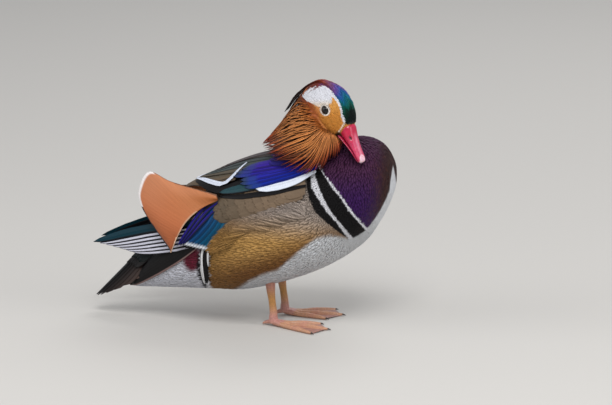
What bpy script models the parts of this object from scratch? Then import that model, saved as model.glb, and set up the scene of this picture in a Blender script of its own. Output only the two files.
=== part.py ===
# Mandarin duck drake, standing with its head turned to its right, as a still life-size model.
# The bird faces +X, its left is +Y and up is +Z. Sizes are in millimetres until a mesh is made.
import math
import random

import bmesh
import bpy
import numpy as np
from mathutils import Matrix, Vector

MM = 0.001
CHANCE = random.Random()
SEEDS = {"crest": 3, "neck": 5, "wing": 7, "primaries": 9, "scapulars": 11, "tail": 13}
GAP = 0.32
SECTION_POWER = 2.15

# Torso sections from the vent to the front of the breast: x, lowest z, highest z, half width.
TORSO = (
    (-157, 30.5, 33.5, 3),
    (-147, 27.5, 43, 15),
    (-124, 28, 76, 29),
    (-98, 29, 110, 44),
    (-66, 30, 139, 57),
    (-30, 31.5, 160, 65),
    (12, 42.5, 173, 67),
    (52, 59, 187, 62.5),
    (84, 80.5, 193.5, 54),
    (103, 104, 187.5, 45.5),
    (114.5, 128, 174, 28),
    (119, 146, 158, 8),
)
# The surface on which the folded wings lie, narrower and longer at the rear than the torso.
WING_SHELL = (
    (-195, 58, 88, 17),
    (-160, 48, 118, 28),
    (-130, 34, 136, 39),
    (-98, 27, 142, 50),
    (-66, 28, 146, 60.5),
    (-30, 29.5, 163, 67.5),
    (12, 40.5, 176, 69.5),
    (52, 57, 190, 65),
)
# The surface on which the scapular feathers lie, over the back.
BACK_SHELL = (
    (-125, 30, 123, 30),
    (-98, 28, 133, 40),
    (-84, 28, 141, 48),
    (-66, 29, 149, 56),
    (-40, 30, 161, 63),
    (-18, 33, 169.5, 67),
    (12, 41, 178, 69),
    (60, 60, 192, 63.5),
)

# The head's own frame: the point between the eyes, its turn to the right and its pitch down.
HEAD_AT = (65, -31, 227)
HEAD_TURN = 25
HEAD_PITCH = 40
# Head sections from the back to the bill's root: forward, lowest, highest, half width.
HEAD = (
    (-35.5, -13, -6, 5),
    (-32, -20, 2.5, 12),
    (-24, -25, 11, 17),
    (-12, -27, 16.5, 19),
    (2, -26, 17.5, 18.2),
    (14, -24, 14, 15),
    (22, -20, 8.5, 11),
    (26, -15.5, 2, 8),
)
BILL_ROOT = (26.2, 0, -6)
BILL_DROOP = 15
BILL_POWER = 2.4
# Bill sections from its root to its tip: forward, lowest, highest, half width.
UPPER_BILL = (
    (0, -7.5, 8, 8.2),
    (6, -6.3, 5.6, 7.6),
    (14, -5, 3, 6.6),
    (22, -4, 1.2, 6),
    (29, -3.9, 0.2, 5.8),
    (33, -4.4, -0.6, 4.4),
    (34.5, -4.4, -2, 2.2),
)
LOWER_BILL = (
    (0, -10.6, -7.9, 7.4),
    (6, -9.2, -6.8, 6.8),
    (14, -7.6, -5.5, 6.1),
    (22, -6.5, -4.6, 5.4),
    (29, -6.1, -4.7, 4.6),
    (32.5, -5.9, -5, 3),
)
NOSTRIL = (8.5, 5.6, 2.4)
NOSTRIL_SIZE = (2.6, 2.2, 1.1)
EYE = (0, 14.6, 0)
EYE_RADIUS = 4.7
LID_RADIUS = 5.0
LID_THICK = 0.8
LID_OPENING = (4.4, 7, 3.9)
# The crest's middle line in the head's frame, from the crown over the nape.
CREST_LINE = (
    (17, 13.4), (8, 17), (-6, 18.4), (-18, 15.6), (-29, 8.4),
    (-35.5, -3), (-39.2, -16), (-41, -30), (-40.5, -50),
)
CREST_ROUND = 0.03
# Crest feathers by tier: how many, first root, last root, shortest and longest reach, breadth.
CREST_TIERS = ((4, 36, 42, 103, 112, 4.9), (4, 20, 25, 76, 86, 4.9), (3, 6, 10, 46, 56, 6.6))

# The ruff's sleeve by angle from the throat round the bird's right: its root, its middle and its hem.
RUFF = (
    (0, (64, -29, 202), (68, -31, 197), (73, -32, 191)),
    (45, (60, -43, 205), (65, -48, 198), (68, -50, 178)),
    (90, (50, -48, 212), (49, -58, 190), (44, -60, 162)),
    (135, (37, -40, 224), (22, -50, 200), (7, -45, 171)),
    (180, (30, -15, 234), (9, -16, 207), (-14, -9, 182)),
    (225, (39, 0, 228), (24, 10, 204), (-4, 24, 183)),
    (270, (57, -4, 216), (44, 14, 196), (28, 42, 183)),
    (315, (67, -14, 207), (69, -2, 199), (72, 12, 194)),
)
RUFF_CORE = 0.55
# Hackle tiers: how many, where the root and the tip lie down the sleeve, breadth, lift of the tip.
HACKLE_TIERS = ((20, 0.2, 1.0, 9.2, 0), (17, 0.1, 0.84, 8.4, 2.4), (10, 0.03, 0.56, 8.0, 3.8))
HACKLE_THICK = 0.75

VANE = 0.62
STEP = 0.95

# Sail outline in x and z: the shaft from its root to the lower tip, and the free edge beside it.
SAIL_SHAFT = ((-50, 132), (-68, 122), (-81.5, 109.5), (-90.3, 94.8), (-98, 76.5))
SAIL_EDGE = (
    (-52, 137), (-84, 142), (-104, 146), (-127, 153), (-136.5, 134),
    (-133, 120), (-124, 107), (-103, 83), (-99, 78),
)
SAIL_LIFT = 3.8
SAIL_ROOT_DROP = 1.5
SAIL_LEAN = 0.36
SAIL_CAMBER = 3.5
SAIL_THICK = 1.0
SAIL_ROOT_SHARE = 0.12
SAIL_ROWS, SAIL_COLUMNS = 11, 5
# The far sail lies a little lower than the near one, turned down about its root.
SAIL_TURNS = {-1: 0.0, 1: 14.0}

LEG_Y = 25
ANKLE_TOP = 9
TOE_LENGTHS = (51, 62, 58)
TOE_ANGLES = (20, -4, -29)
FOOT_TURN = 4

TAIL_BASE = (-112, 0, 99)
TAIL_PITCH = 46.5
TAIL_LENGTH = 113
TAIL_DROP = 0.036
TAIL_PAIRS = 6
TAIL_COVERTS = (68, 60, 52)

# Plates that hold the roots of each group of feathers, on the group's own surface.
WING_PLATE = ((38, 146), (5, 139), (-30, 130), (-58, 117))
PRIMARY_PLATE = ((-68, 102), (-80, 100), (-92, 96))
SCAPULAR_PLATE = ((34, 69), (8, 73), (-24, 74))
SCAPULAR_SPACE = ((44, 68), (0, 70), (-60, 71))
SPACE_BREADTHS = (50, 54, 50)
SPACE_LIFTS = (-7, -7)
SPACE_THICKS = (11.2, 11.2)

# Fans of vanes: how many, then root, middle and tip of the first and the last vane,
# breadth, lift at root and tip, tilt, and segments along each vane.
WING_FANS = (
    (6, ((-34, 129), (-42, 108)), ((-66, 116), (-55, 95)), ((-92, 95), (-66, 79)),
     12.5, (-0.7, 0.2), 1.15, 4),
    (4, ((-16, 131), (-26, 112)), ((-38, 127), (-42, 107)), ((-61, 119), (-57, 98)),
     12, (-0.3, 1.7), 0.6, 3),
    (3, ((8, 138), (2, 126)), ((-14, 135), (-20, 120)), ((-33, 127), (-38, 111)),
     11, (-0.3, 2.4), 0.8, 3),
    (2, ((28, 146), (24, 138)), ((10, 142), (6, 132)), ((-12, 138), (-16, 125)),
     10, (-0.3, 2.2), 0.7, 3),
)
PRIMARY_FANS = (
    (5, ((-76, 107), (-80, 90)), ((-130, 93), (-112, 78)), ((-190, 73), (-146, 71)),
     13, (-5.3, -5.0), 1.2, 5),
)
SCAPULAR_FANS = (
    (6, ((-4, 87), (24, 55)), ((-44, 86), (-8, 54)), ((-89, 83), (-34, 53)),
     15, (-0.6, 0.4), 1.15, 4),
    (4, ((24, 84), (36, 61)), ((2, 85), (18, 59)), ((-32, 83), (-8, 57)), 13, (-0.4, 2.4), 0.8, 3),
)
FAN_STAGGER = 0.5
FAN_SPREAD = 0.04


def catmull_rom(a, b, c, d, t):
    """The point at a share t of the way from b to c on a smooth curve through a, b, c and d."""
    square, cube = 2 * a - 5 * b + 4 * c - d, 3 * b - a - 3 * c + d
    return 0.5 * (2 * b + (c - a) * t + square * t**2 + cube * t**3)


def smooth_rows(rows, steps):
    """Rows of numbers read from a Catmull-Rom curve through the given rows."""
    rows = np.array(rows, float)
    padded = np.vstack([2 * rows[0] - rows[1], rows, 2 * rows[-1] - rows[-2]])
    found = []
    for i in range(1, len(padded) - 2):
        a, b, c, d = padded[i - 1 : i + 3]
        for t in np.arange(steps) / steps:
            found.append(catmull_rom(a, b, c, d, t))
    found.append(rows[-1])
    return np.array(found)


def make_mesh_object(name, points, faces):
    """A closed mesh object in metres from points in millimetres, with its faces turned out."""
    mesh = bpy.data.meshes.new(name)
    mesh.from_pydata([Vector(p) * MM for p in points], [], faces)
    work = bmesh.new()
    work.from_mesh(mesh)
    bmesh.ops.recalc_face_normals(work, faces=work.faces[:])
    work.to_mesh(mesh)
    work.free()
    made = bpy.data.objects.new(name, mesh)
    bpy.context.scene.collection.objects.link(made)
    return made


def loft(name, rings):
    """A closed solid through rings of equal count, its ends closed by fans."""
    count = len(rings[0])
    points = [p for ring in rings for p in ring]
    faces = []
    for i in range(len(rings) - 1):
        for j in range(count):
            k = (j + 1) % count
            faces.append((i * count + j, i * count + k, (i + 1) * count + k, (i + 1) * count + j))
    for ring_index in (0, len(rings) - 1):
        centre = len(points)
        points.append(np.mean(rings[ring_index], axis=0))
        for j in range(count):
            faces.append((ring_index * count + j, ring_index * count + (j + 1) % count, centre))
    return make_mesh_object(name, points, faces)


def superellipse(angle, power):
    """Cosine and sine of an angle, swelled towards a square by the power."""
    c, s = math.cos(angle), math.sin(angle)
    return math.copysign(abs(c) ** (2 / power), c), math.copysign(abs(s) ** (2 / power), s)


def section_loft(name, stations, steps, sides, grow=0.0, place=Matrix.Identity(4), power=SECTION_POWER):
    """A loft through sections (forward, low, high, half width), grown outwards by grow on every side."""
    rows = smooth_rows(stations, steps)
    rows[0, 0] -= grow
    rows[-1, 0] += grow
    rings = []
    for x, low, high, half in rows:
        middle, height = (low + high) / 2, (high - low) / 2 + grow
        ring = []
        for j in range(sides):
            c, s = superellipse(2 * math.pi * j / sides, power)
            ring.append(place @ Vector((x, (half + grow) * c, middle + height * s)))
        rings.append(ring)
    return loft(name, rings)


def head_frame():
    """The matrix from the head's frame to the bird's, in millimetres."""
    turn = Matrix.Rotation(math.radians(-HEAD_TURN), 4, "Z")
    pitch = Matrix.Rotation(math.radians(HEAD_PITCH), 4, "Y")
    return Matrix.Translation(HEAD_AT) @ turn @ pitch


def bill_frame():
    """The matrix from the bill's frame to the bird's, in millimetres."""
    return head_frame() @ Matrix.Translation(BILL_ROOT) @ Matrix.Rotation(math.radians(BILL_DROOP), 4, "Y")


def combine(target, others, operation, solver="EXACT"):
    """Joins the others to the target, or cuts them from it, and removes them."""
    group = bpy.data.collections.new("operands")
    for other in others:
        group.objects.link(other)
    modifier = target.modifiers.new("combine", "BOOLEAN")
    modifier.operand_type = "COLLECTION"
    modifier.collection = group
    modifier.operation = operation
    modifier.solver = solver
    graph = bpy.context.evaluated_depsgraph_get()
    mesh = bpy.data.meshes.new_from_object(target.evaluated_get(graph))
    target.modifiers.clear()
    target.data = mesh
    for other in others:
        bpy.data.objects.remove(other)
    bpy.data.collections.remove(group)
    return target


def keep_largest(made):
    """Leaves only the largest closed surface of a mesh object."""
    work = bmesh.new()
    work.from_mesh(made.data)
    left = set(work.verts)
    islands = []
    while left:
        front = [left.pop()]
        island = set(front)
        while front:
            for edge in front.pop().link_edges:
                for vertex in edge.verts:
                    if vertex in left:
                        left.remove(vertex)
                        island.add(vertex)
                        front.append(vertex)
        corners = np.array([v.co for v in island])
        islands.append((float(np.prod(corners.max(0) - corners.min(0) + 1e-6)), island))
    islands.sort(key=lambda item: item[0])
    loose = [vertex for _, island in islands[:-1] for vertex in island]
    bmesh.ops.delete(work, geom=loose, context="VERTS")
    work.to_mesh(made.data)
    work.free()
    return made


class Shell:
    """A smooth surface round the bird, given by sections, on which feathers are laid."""

    def __init__(self, stations, side):
        self.rows = smooth_rows(stations, 12)
        self.side = side

    def section(self, x):
        low, high, half = (np.interp(x, self.rows[:, 0], self.rows[:, k]) for k in (1, 2, 3))
        return (low + high) / 2, (high - low) / 2, half


class SideShell(Shell):
    """The shell addressed by x and z, for feathers on the bird's flank."""

    def bare(self, x, z):
        middle, height, half = self.section(x)
        share = min(0.985, abs(z - middle) / height)
        return np.array([x, self.side * half * (1 - share**SECTION_POWER) ** (1 / SECTION_POWER), z])

    def place(self, x, z, lift):
        here = self.bare(x, z)
        along, up = self.bare(x + 1, z) - self.bare(x - 1, z), self.bare(x, z + 1) - self.bare(x, z - 1)
        normal = self.side * np.cross(up, along)
        return here + lift * normal / np.linalg.norm(normal)


class BackShell(Shell):
    """The shell addressed by x and the distance round from its widest line up to the ridge."""

    GIRTH = 62

    def bare(self, x, up):
        middle, height, half = self.section(x)
        c, s = superellipse(min(up / self.GIRTH, math.pi / 2), SECTION_POWER)
        return np.array([x, self.side * half * c, middle + height * s])

    def place(self, x, up, lift):
        here = self.bare(x, up)
        along = self.bare(x + 1, up) - self.bare(x - 1, up)
        over = self.bare(x, up + 1) - self.bare(x, up - 1)
        normal = self.side * np.cross(over, along)
        return here + lift * normal / np.linalg.norm(normal)


def vane_width(t):
    """A feather's breadth along its length, as a share of the widest."""
    root = min(1, 0.55 + 1.3 * t)
    tip = max(0.0, (t - 0.55) / 0.45)
    return root * max(0.1, math.sqrt(max(0.0, 1 - tip**2.4)))


def sheet(name, place, path, breadths, lifts, thick, columns=3, tilt=0.0, shape=vane_width, segments=5):
    """A closed feather or plate laid on a surface along a path, split alike on both faces.
    breadths, lifts and thick run evenly from root to tip. tilt raises one edge and lowers the other."""
    line = smooth_rows(path, 4)
    lengths = np.concatenate([[0], np.cumsum(np.linalg.norm(np.diff(line, axis=0), axis=1))])
    top, bottom = [], []
    for i in range(segments + 1):
        t = i / segments
        at = lengths[-1] * t
        here = np.array([np.interp(at, lengths, line[:, k]) for k in (0, 1)])
        ahead = np.array([np.interp(min(at + 1, lengths[-1]), lengths, line[:, k]) for k in (0, 1)])
        behind = np.array([np.interp(max(at - 1, 0), lengths, line[:, k]) for k in (0, 1)])
        along = (ahead - behind) / np.linalg.norm(ahead - behind)
        across = np.array([-along[1], along[0]])
        breadth, lift, depth = (np.interp(t, np.linspace(0, 1, len(v)), v) for v in (breadths, lifts, thick))
        for j in range(columns):
            v = 2 * j / (columns - 1) - 1
            u = here + across * v * breadth * shape(t) / 2
            crown = 0.35 * (1 - v * v) if columns > 2 else 0.0
            bottom.append(place(u[0], u[1], lift + tilt * v))
            top.append(place(u[0], u[1], lift + tilt * v + depth * (1 + crown)))
    return closed_sheet(name, top, bottom, segments + 1, columns)


def closed_sheet(name, top, bottom, rows, columns):
    """A closed mesh from two grids of points, with the triangles of both faces alike."""
    points = list(top) + list(bottom)
    under = len(top)
    faces = []
    for i in range(rows - 1):
        for j in range(columns - 1):
            a, b = i * columns + j, (i + 1) * columns + j
            faces += [(a, b, b + 1), (a, b + 1, a + 1)]
            faces += [(under + a, under + b + 1, under + b), (under + a, under + a + 1, under + b + 1)]
    rim = [j for j in range(columns)]
    rim += [i * columns + columns - 1 for i in range(1, rows)]
    rim += [(rows - 1) * columns + j for j in range(columns - 2, -1, -1)]
    rim += [i * columns for i in range(rows - 2, 0, -1)]
    for here, there in zip(rim, rim[1:] + rim[:1]):
        faces += [(here, there, under + there), (here, under + there, under + here)]
    return make_mesh_object(name, points, faces)


def tube(name, points, radii, sides_resolution=1):
    """A round bar with a radius at each point, made from a bevelled curve and converted to a mesh."""
    curve = bpy.data.curves.new(name, "CURVE")
    curve.dimensions = "3D"
    curve.bevel_depth = MM
    curve.bevel_resolution = sides_resolution
    curve.use_fill_caps = True
    spline = curve.splines.new("POLY")
    spline.points.add(len(points) - 1)
    for point, at, radius in zip(spline.points, points, radii):
        point.co = (*(Vector(at) * MM), 1)
        point.radius = radius
    drawn = bpy.data.objects.new(name, curve)
    bpy.context.scene.collection.objects.link(drawn)
    graph = bpy.context.evaluated_depsgraph_get()
    mesh = bpy.data.meshes.new_from_object(drawn.evaluated_get(graph))
    work = bmesh.new()
    work.from_mesh(mesh)
    bmesh.ops.remove_doubles(work, verts=work.verts[:], dist=0.01 * MM)
    bmesh.ops.recalc_face_normals(work, faces=work.faces[:])
    work.to_mesh(mesh)
    work.free()
    bpy.data.objects.remove(drawn)
    made = bpy.data.objects.new(name, mesh)
    bpy.context.scene.collection.objects.link(made)
    return made


def ball(name, at, size, place=Matrix.Identity(4), segments=20, rings=12):
    """An ellipsoid of the given half sizes."""
    mesh = bpy.data.meshes.new(name)
    work = bmesh.new()
    bmesh.ops.create_uvsphere(work, u_segments=segments, v_segments=rings, radius=1)
    bmesh.ops.scale(work, vec=Vector(size), verts=work.verts[:])
    bmesh.ops.translate(work, vec=Vector(at), verts=work.verts[:])
    bmesh.ops.transform(work, matrix=Matrix.Scale(MM, 4) @ place, verts=work.verts[:])
    work.to_mesh(mesh)
    work.free()
    made = bpy.data.objects.new(name, mesh)
    bpy.context.scene.collection.objects.link(made)
    return made


def box(name, low, high):
    """A plain block between two corners."""
    corners = [(x, y, z) for x in (low[0], high[0]) for y in (low[1], high[1]) for z in (low[2], high[2])]
    faces = [(0, 1, 3, 2), (4, 6, 7, 5), (0, 4, 5, 1), (2, 3, 7, 6), (0, 2, 6, 4), (1, 5, 7, 3)]
    return make_mesh_object(name, corners, faces)


def torso(name="torso", grow=0.0):
    return section_loft(name, TORSO, 2, 28, grow)


def skull(name="head", grow=0.0):
    return section_loft(name, HEAD, 2, 22, grow, head_frame())


def head():
    """The head with eye sockets and a raised lid round each eye."""
    made = skull()
    lids, sockets = [], []
    for side in (-1, 1):
        centre = (EYE[0], side * EYE[1], EYE[2])
        lids.append(ball("lid", centre, (LID_RADIUS + LID_THICK,) * 3, head_frame(), 14, 8))
        sockets.append(ball("socket", centre, (EYE_RADIUS + GAP,) * 3, head_frame(), 12, 8))
        opening = (EYE[0], side * (EYE[1] + LID_RADIUS), EYE[2])
        sockets.append(ball("opening", opening, LID_OPENING, head_frame(), 14, 8))
    combine(made, lids, "UNION")
    return combine(made, sockets, "DIFFERENCE")


def eyes():
    for side, name in ((-1, "eye_right"), (1, "eye_left")):
        ball(name, (EYE[0], side * EYE[1], EYE[2]), (EYE_RADIUS,) * 3, head_frame(), 12, 8)


def lower_bill(name="bill_lower", grow=0.0):
    return section_loft(name, LOWER_BILL, 2, 12, grow, bill_frame(), BILL_POWER)


def bill():
    """Both halves of the bill, parted by the line of the mouth, with nostrils pressed in the upper one."""
    upper = section_loft("bill_upper", UPPER_BILL, 2, 14, 0.0, bill_frame(), BILL_POWER)
    lower = lower_bill()
    pits = []
    for side in (-1, 1):
        at = (NOSTRIL[0], side * NOSTRIL[1], NOSTRIL[2])
        pits.append(ball("pit", at, NOSTRIL_SIZE, bill_frame(), 10, 6))
    combine(upper, pits, "DIFFERENCE")
    for piece in (upper, lower):
        combine(piece, [skull("cut", GAP)], "DIFFERENCE")
        keep_largest(piece)


def join(name, pieces, solver="EXACT"):
    """One closed node from pieces that cross one another."""
    made = pieces[0]
    made.name = name
    combine(made, pieces[1:], "UNION", solver)
    return keep_largest(made)


def mix(pair, share):
    """The point at a share of the way between two points."""
    return tuple(a + (b - a) * share for a, b in zip(*pair))


def fan(place, count, root, middle, tip, breadth, lifts, tilt, segments):
    """Overlapping vanes side by side. Each line is given by its place in the first and the last vane."""
    vanes = []
    for i in range(count):
        share = i / (count - 1)
        reach = CHANCE.uniform(-FAN_STAGGER, FAN_STAGGER)
        end = mix(tip, share)
        path = [mix(root, share), mix(middle, share), (end[0] + reach, end[1] + 0.3 * reach)]
        wide = breadth * CHANCE.uniform(1 - FAN_SPREAD, 1 + FAN_SPREAD)
        breadths = (wide * 0.75, wide, wide)
        vanes.append(sheet("vane", place, path, breadths, lifts, (VANE, VANE), 2, tilt, segments=segments))
    return vanes


def plate(name, place, path, breadths, lifts, thick, columns, segments):
    """A rounded plate laid on a surface, which joins the roots of the feathers on it."""
    return sheet(name, place, path, breadths, lifts, thick, columns, shape=plate_width, segments=segments)


def fanned(name, base, place, fans, cutters):
    """A node of a plate and its fans of vanes, cut clear of what lies beneath."""
    pieces = [base]
    for row in fans:
        pieces += fan(place, *row)
    made = join(name, pieces)
    for cutter in cutters:
        combine(made, [cutter], "DIFFERENCE")
    return keep_largest(made)


def even_width(t):
    """The same breadth all along."""
    return 1.0


def plate_width(t):
    """The breadth of a rounded plate along its length, as a share of the widest."""
    return max(0.12, (1 - abs(2 * t - 1) ** 3.5) ** 0.5)


def crest_place():
    """The crest's surface: distance back along its line and distance across, in the head's frame."""
    line = smooth_rows(CREST_LINE, 8)
    lengths = np.concatenate([[0], np.cumsum(np.linalg.norm(np.diff(line, axis=0), axis=1))])
    frame = head_frame()

    def at(distance):
        return np.array([np.interp(distance, lengths, line[:, k]) for k in (0, 1)])

    def place(back, across, lift):
        along = at(back + 2) - at(back - 2)
        out = np.array([along[1], -along[0]]) / np.linalg.norm(along)
        spot = at(back) + out * (lift - CREST_ROUND * across * across)
        return np.array(frame @ Vector((spot[0], across, spot[1])))

    return place, lengths[-1]


def crest_cap(name="crest", grow=0.0):
    """The crown's cap of close feathers that holds the crest's roots."""
    place, length = crest_place()
    path = [(1 - grow, 0), (length * 0.3, 0), (length * 0.62 + grow, 0)]
    breadths = (15 + 2 * grow, 21 + 2 * grow, 17 + 2 * grow, 12 + 2 * grow)
    lifts, thick = (-2.2 - grow,) * 2, (2.6 + 2 * grow,) * 2
    return plate(name, place, path, breadths, lifts, thick, 4, 6)


def crest():
    """The cap with long tapering feathers in tiers, the lowest tier the longest."""
    CHANCE.seed(SEEDS["crest"])
    place, length = crest_place()
    pieces = [crest_cap()]
    for tier, (count, first, last, short, long, breadth) in enumerate(CREST_TIERS):
        for i in range(count):
            offset = (i - (count - 1) / 2) / (count - 1)
            root = CHANCE.uniform(first, last)
            tip = min(length - 1, CHANCE.uniform(short, long) * (1 - 0.1 * abs(offset)))
            across = offset * 15
            path = [(root, across), ((root + tip) / 2, across * 1.05), (tip, across * 0.5)]
            high = 0.5 + STEP * tier
            breadths = (breadth * 0.8, breadth, breadth * 0.7)
            lifts = (-1.4, high, high)
            pieces.append(sheet("vane", place, path, breadths, lifts, (VANE, VANE), 2, segments=6))
    made = join("crest", pieces)
    combine(made, [skull("cut", GAP)], "DIFFERENCE")
    return keep_largest(made)


def ruff_controls(angle):
    """Root, middle and hem of the sleeve at an angle, read from a closed curve through the table."""
    table = np.array([[*root, *middle, *hem] for _, root, middle, hem in RUFF], float)
    step = 360 / len(table)
    cell, t = divmod((angle % 360) / step, 1)
    a, b, c, d = (table[(int(cell) + k) % len(table)] for k in (-1, 0, 1, 2))
    row = catmull_rom(a, b, c, d, t)
    return row[0:3], row[3:6], row[6:9]


def ruff_point(angle, t, scale=1.0, lift=0.0):
    """A point of the ruff's sleeve at an angle round it and a share of the way down."""
    weights = ((1 - t) * (1 - 2 * t), 4 * t * (1 - t), t * (2 * t - 1))
    spot = sum(w * p for w, p in zip(weights, ruff_controls(angle)))
    rows = [sum(w * np.array(row[k + 1]) for k, w in enumerate(weights)) for row in RUFF]
    centre = np.mean(rows, axis=0)
    away = spot - centre
    return centre + away * scale + lift * away / np.linalg.norm(away)


def core_scale(t):
    """How far the ruff's core is drawn in from its sleeve."""
    return 1 - (1 - RUFF_CORE) * min(1, max(0, t) / 0.4) ** 0.8


def neck_core(name="neck", grow=0.0):
    rings = []
    for t in np.linspace(-0.12, 1.12, 10):
        rings.append([ruff_point(360 * j / 20, t, core_scale(t), grow) for j in range(20)])
    return loft(name, rings)


def hackle(angle, start, end, breadth, lift):
    """One narrow pointed feather lying down the sleeve."""
    rows = 5
    line = []
    for i in range(rows):
        u = i / (rows - 1)
        t = start + (end - start) * u
        blend = min(1, u / 0.4) ** 0.7
        scale = core_scale(t) * 0.95 * (1 - blend) + blend
        line.append(ruff_point(angle, t, scale, lift * blend))
    line = np.array(line)
    centre = np.mean([ruff_point(a, end, 0.0, 0.01) for a in (0, 90, 180, 270)], axis=0)
    top, bottom = [], []
    for i in range(rows):
        u = i / (rows - 1)
        along = line[min(i + 1, rows - 1)] - line[max(i - 1, 0)]
        along = along / np.linalg.norm(along)
        away = line[i] - centre
        out = away - along * away.dot(along)
        out = out / np.linalg.norm(out)
        across = np.cross(out, along)
        half = breadth / 2 * (0.6 + 1.3 * u if u < 0.3 else max(0.08, 1 - ((u - 0.3) / 0.7) ** 1.9))
        for side in (-1, 1):
            top.append(line[i] + across * side * half + out * HACKLE_THICK / 2)
            bottom.append(line[i] + across * side * half - out * HACKLE_THICK / 2)
    return closed_sheet("hackle", top, bottom, rows, 2)


def scapular_space(side):
    """The space over the scapulars that the hackles keep clear of."""
    place = BackShell(BACK_SHELL, side).place
    breadths, lifts, thick = SPACE_BREADTHS, SPACE_LIFTS, SPACE_THICKS
    return sheet("cut", place, SCAPULAR_SPACE, breadths, lifts, thick, 6, shape=even_width, segments=6)


def neck():
    """The neck's core with the ruff's hackles in tiers, the outer tiers shorter."""
    CHANCE.seed(SEEDS["neck"])
    pieces = [neck_core()]
    for count, start, end, breadth, lift in HACKLE_TIERS:
        for i in range(count):
            angle = 360 * (i + CHANCE.uniform(-0.16, 0.16)) / count
            reach = end + CHANCE.uniform(-0.05, 0.03)
            wide, high = breadth * CHANCE.uniform(0.9, 1.1), lift + CHANCE.uniform(-0.3, 0.3)
            pieces.append(hackle(angle, start, reach, wide, high))
    made = join("neck", pieces, "MANIFOLD")
    cutters = [torso("cut", GAP), skull("cut", GAP), lower_bill("cut", GAP)]
    cutters += [scapular_space(-1), scapular_space(1)]
    for cutter in cutters:
        combine(made, [cutter], "DIFFERENCE", "MANIFOLD")
    return keep_largest(made)


def wing(side, name):
    """The folded wing: a covert plate with tiers of coverts, and secondaries that carry the speculum."""
    CHANCE.seed(SEEDS["wing"])
    place = SideShell(WING_SHELL, side).place
    base = plate(name, place, WING_PLATE, (16, 28, 36, 36), (-6, -5), (6.6, 5.6), 4, 6)
    return fanned(name, base, place, WING_FANS, [torso("cut", GAP)])


def primaries(side, name):
    """The folded flight feathers, their tips stepping forward along the lower edge."""
    CHANCE.seed(SEEDS["primaries"])
    place = SideShell(WING_SHELL, side).place
    base = plate(name, place, PRIMARY_PLATE, (24, 24), (-11, -8), (6.8, 4.2), 4, 3)
    return fanned(name, base, place, PRIMARY_FANS, [torso("cut", GAP)])


def turned(spot, side):
    """A point of the sail's outline after that side's sail is turned about its root."""
    turn = math.radians(SAIL_TURNS[side])
    root = np.array(SAIL_SHAFT[0])
    spin = np.array([[math.cos(turn), -math.sin(turn)], [math.sin(turn), math.cos(turn)]])
    return root + spin @ (spot - root)


def sail(side, name):
    """The raised sail feather, a curved blade between its shaft and its free edge."""
    shell = SideShell(WING_SHELL, side)
    outline = [smooth_rows(line, 6) for line in (SAIL_SHAFT, SAIL_EDGE)]
    top, bottom = [], []
    for i in range(SAIL_ROWS):
        t = i / (SAIL_ROWS - 1)
        ends = []
        for line in outline:
            spot = [np.interp(t, np.linspace(0, 1, len(line)), line[:, k]) for k in (0, 1)]
            ends.append(turned(np.array(spot), side))
        start, end = ends
        lift = SAIL_LIFT - SAIL_ROOT_DROP * max(0, 1 - t / SAIL_ROOT_SHARE)
        foot = abs(shell.place(start[0], start[1], lift)[1])
        for j in range(SAIL_COLUMNS):
            s = j / (SAIL_COLUMNS - 1)
            x, z = start + (end - start) * s
            y = foot - SAIL_LEAN * np.linalg.norm(end - start) * s + SAIL_CAMBER * math.sin(math.pi * s)
            top.append((x, side * (y + SAIL_THICK / 2), z))
            bottom.append((x, side * (y - SAIL_THICK / 2), z))
    return closed_sheet(name, top, bottom, SAIL_ROWS, SAIL_COLUMNS)


def scapulars(side, name):
    """Long shoulder feathers over the back, with a shorter tier over their roots."""
    CHANCE.seed(SEEDS["scapulars"])
    place = BackShell(BACK_SHELL, side).place
    base = plate(name, place, SCAPULAR_PLATE, (36, 40, 38), (-6, -5), (6.6, 5.6), 5, 4)
    return fanned(name, base, place, SCAPULAR_FANS, [torso("cut", GAP), neck_core("cut", GAP)])


def tail_place():
    """The tail's surface: distance back from its base, distance across, and lift."""
    pitch = math.radians(TAIL_PITCH)
    along = np.array([-math.cos(pitch), 0, -math.sin(pitch)])
    out = np.array([-math.sin(pitch), 0, math.cos(pitch)])

    def place(back, across, lift):
        drop = TAIL_DROP * across * across
        return np.array(TAIL_BASE) + along * back + out * (lift - drop) + np.array([0, across, 0])

    return place


def tail():
    """Pairs of stiff tail feathers under a tier of coverts."""
    CHANCE.seed(SEEDS["tail"])
    place = tail_place()
    pieces = [plate("tail", place, [(2, 0), (20, 0), (40, 0)], (30, 34), (-6.5, -6), (7, 6), 5, 3)]
    for k in range(TAIL_PAIRS):
        for side in (-1, 1):
            lift = -STEP * (k + 1 if k else int(side > 0))
            length = TAIL_LENGTH - 1.5 * k * k + CHANCE.uniform(-1, 1)
            spots = ((12, 4.2 + 0.6 * k), (60, 6.0 + 2.4 * k), (length, 6.2 + 3.2 * k))
            if k == 0:
                spots = ((12, 1), (60, 1.4), (length, 1.6))
            path = [(back, side * across) for back, across in spots]
            breadths = (8, 11, 12)
            pieces.append(sheet("vane", place, path, breadths, (lift, lift), (VANE, VANE), 2, segments=4))
    for k, reach in enumerate(TAIL_COVERTS):
        for side in (-1, 1) if k else (1,):
            path = [(6, side * 2.6 * k), (34, side * 4.4 * k), (reach, side * 5 * k)]
            lifts = (0.2, 1.0 + STEP * (2 - k))
            pieces.append(sheet("vane", place, path, (8, 10), lifts, (VANE, VANE), 2, segments=3))
    made = join("tail", pieces)
    combine(made, [torso("cut", GAP)], "DIFFERENCE")
    return keep_largest(made)


def toe_line(side, length, angle):
    """Points along a toe on the floor from the ankle to the claw."""
    turn = math.radians(-side * (angle - FOOT_TURN))
    heading = np.array([math.cos(turn), math.sin(turn)])
    start = np.array([0.0, side * LEG_Y])
    return [start + heading * length * t for t in (0.0, 0.3, 0.55, 0.78, 1.0)]


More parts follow.
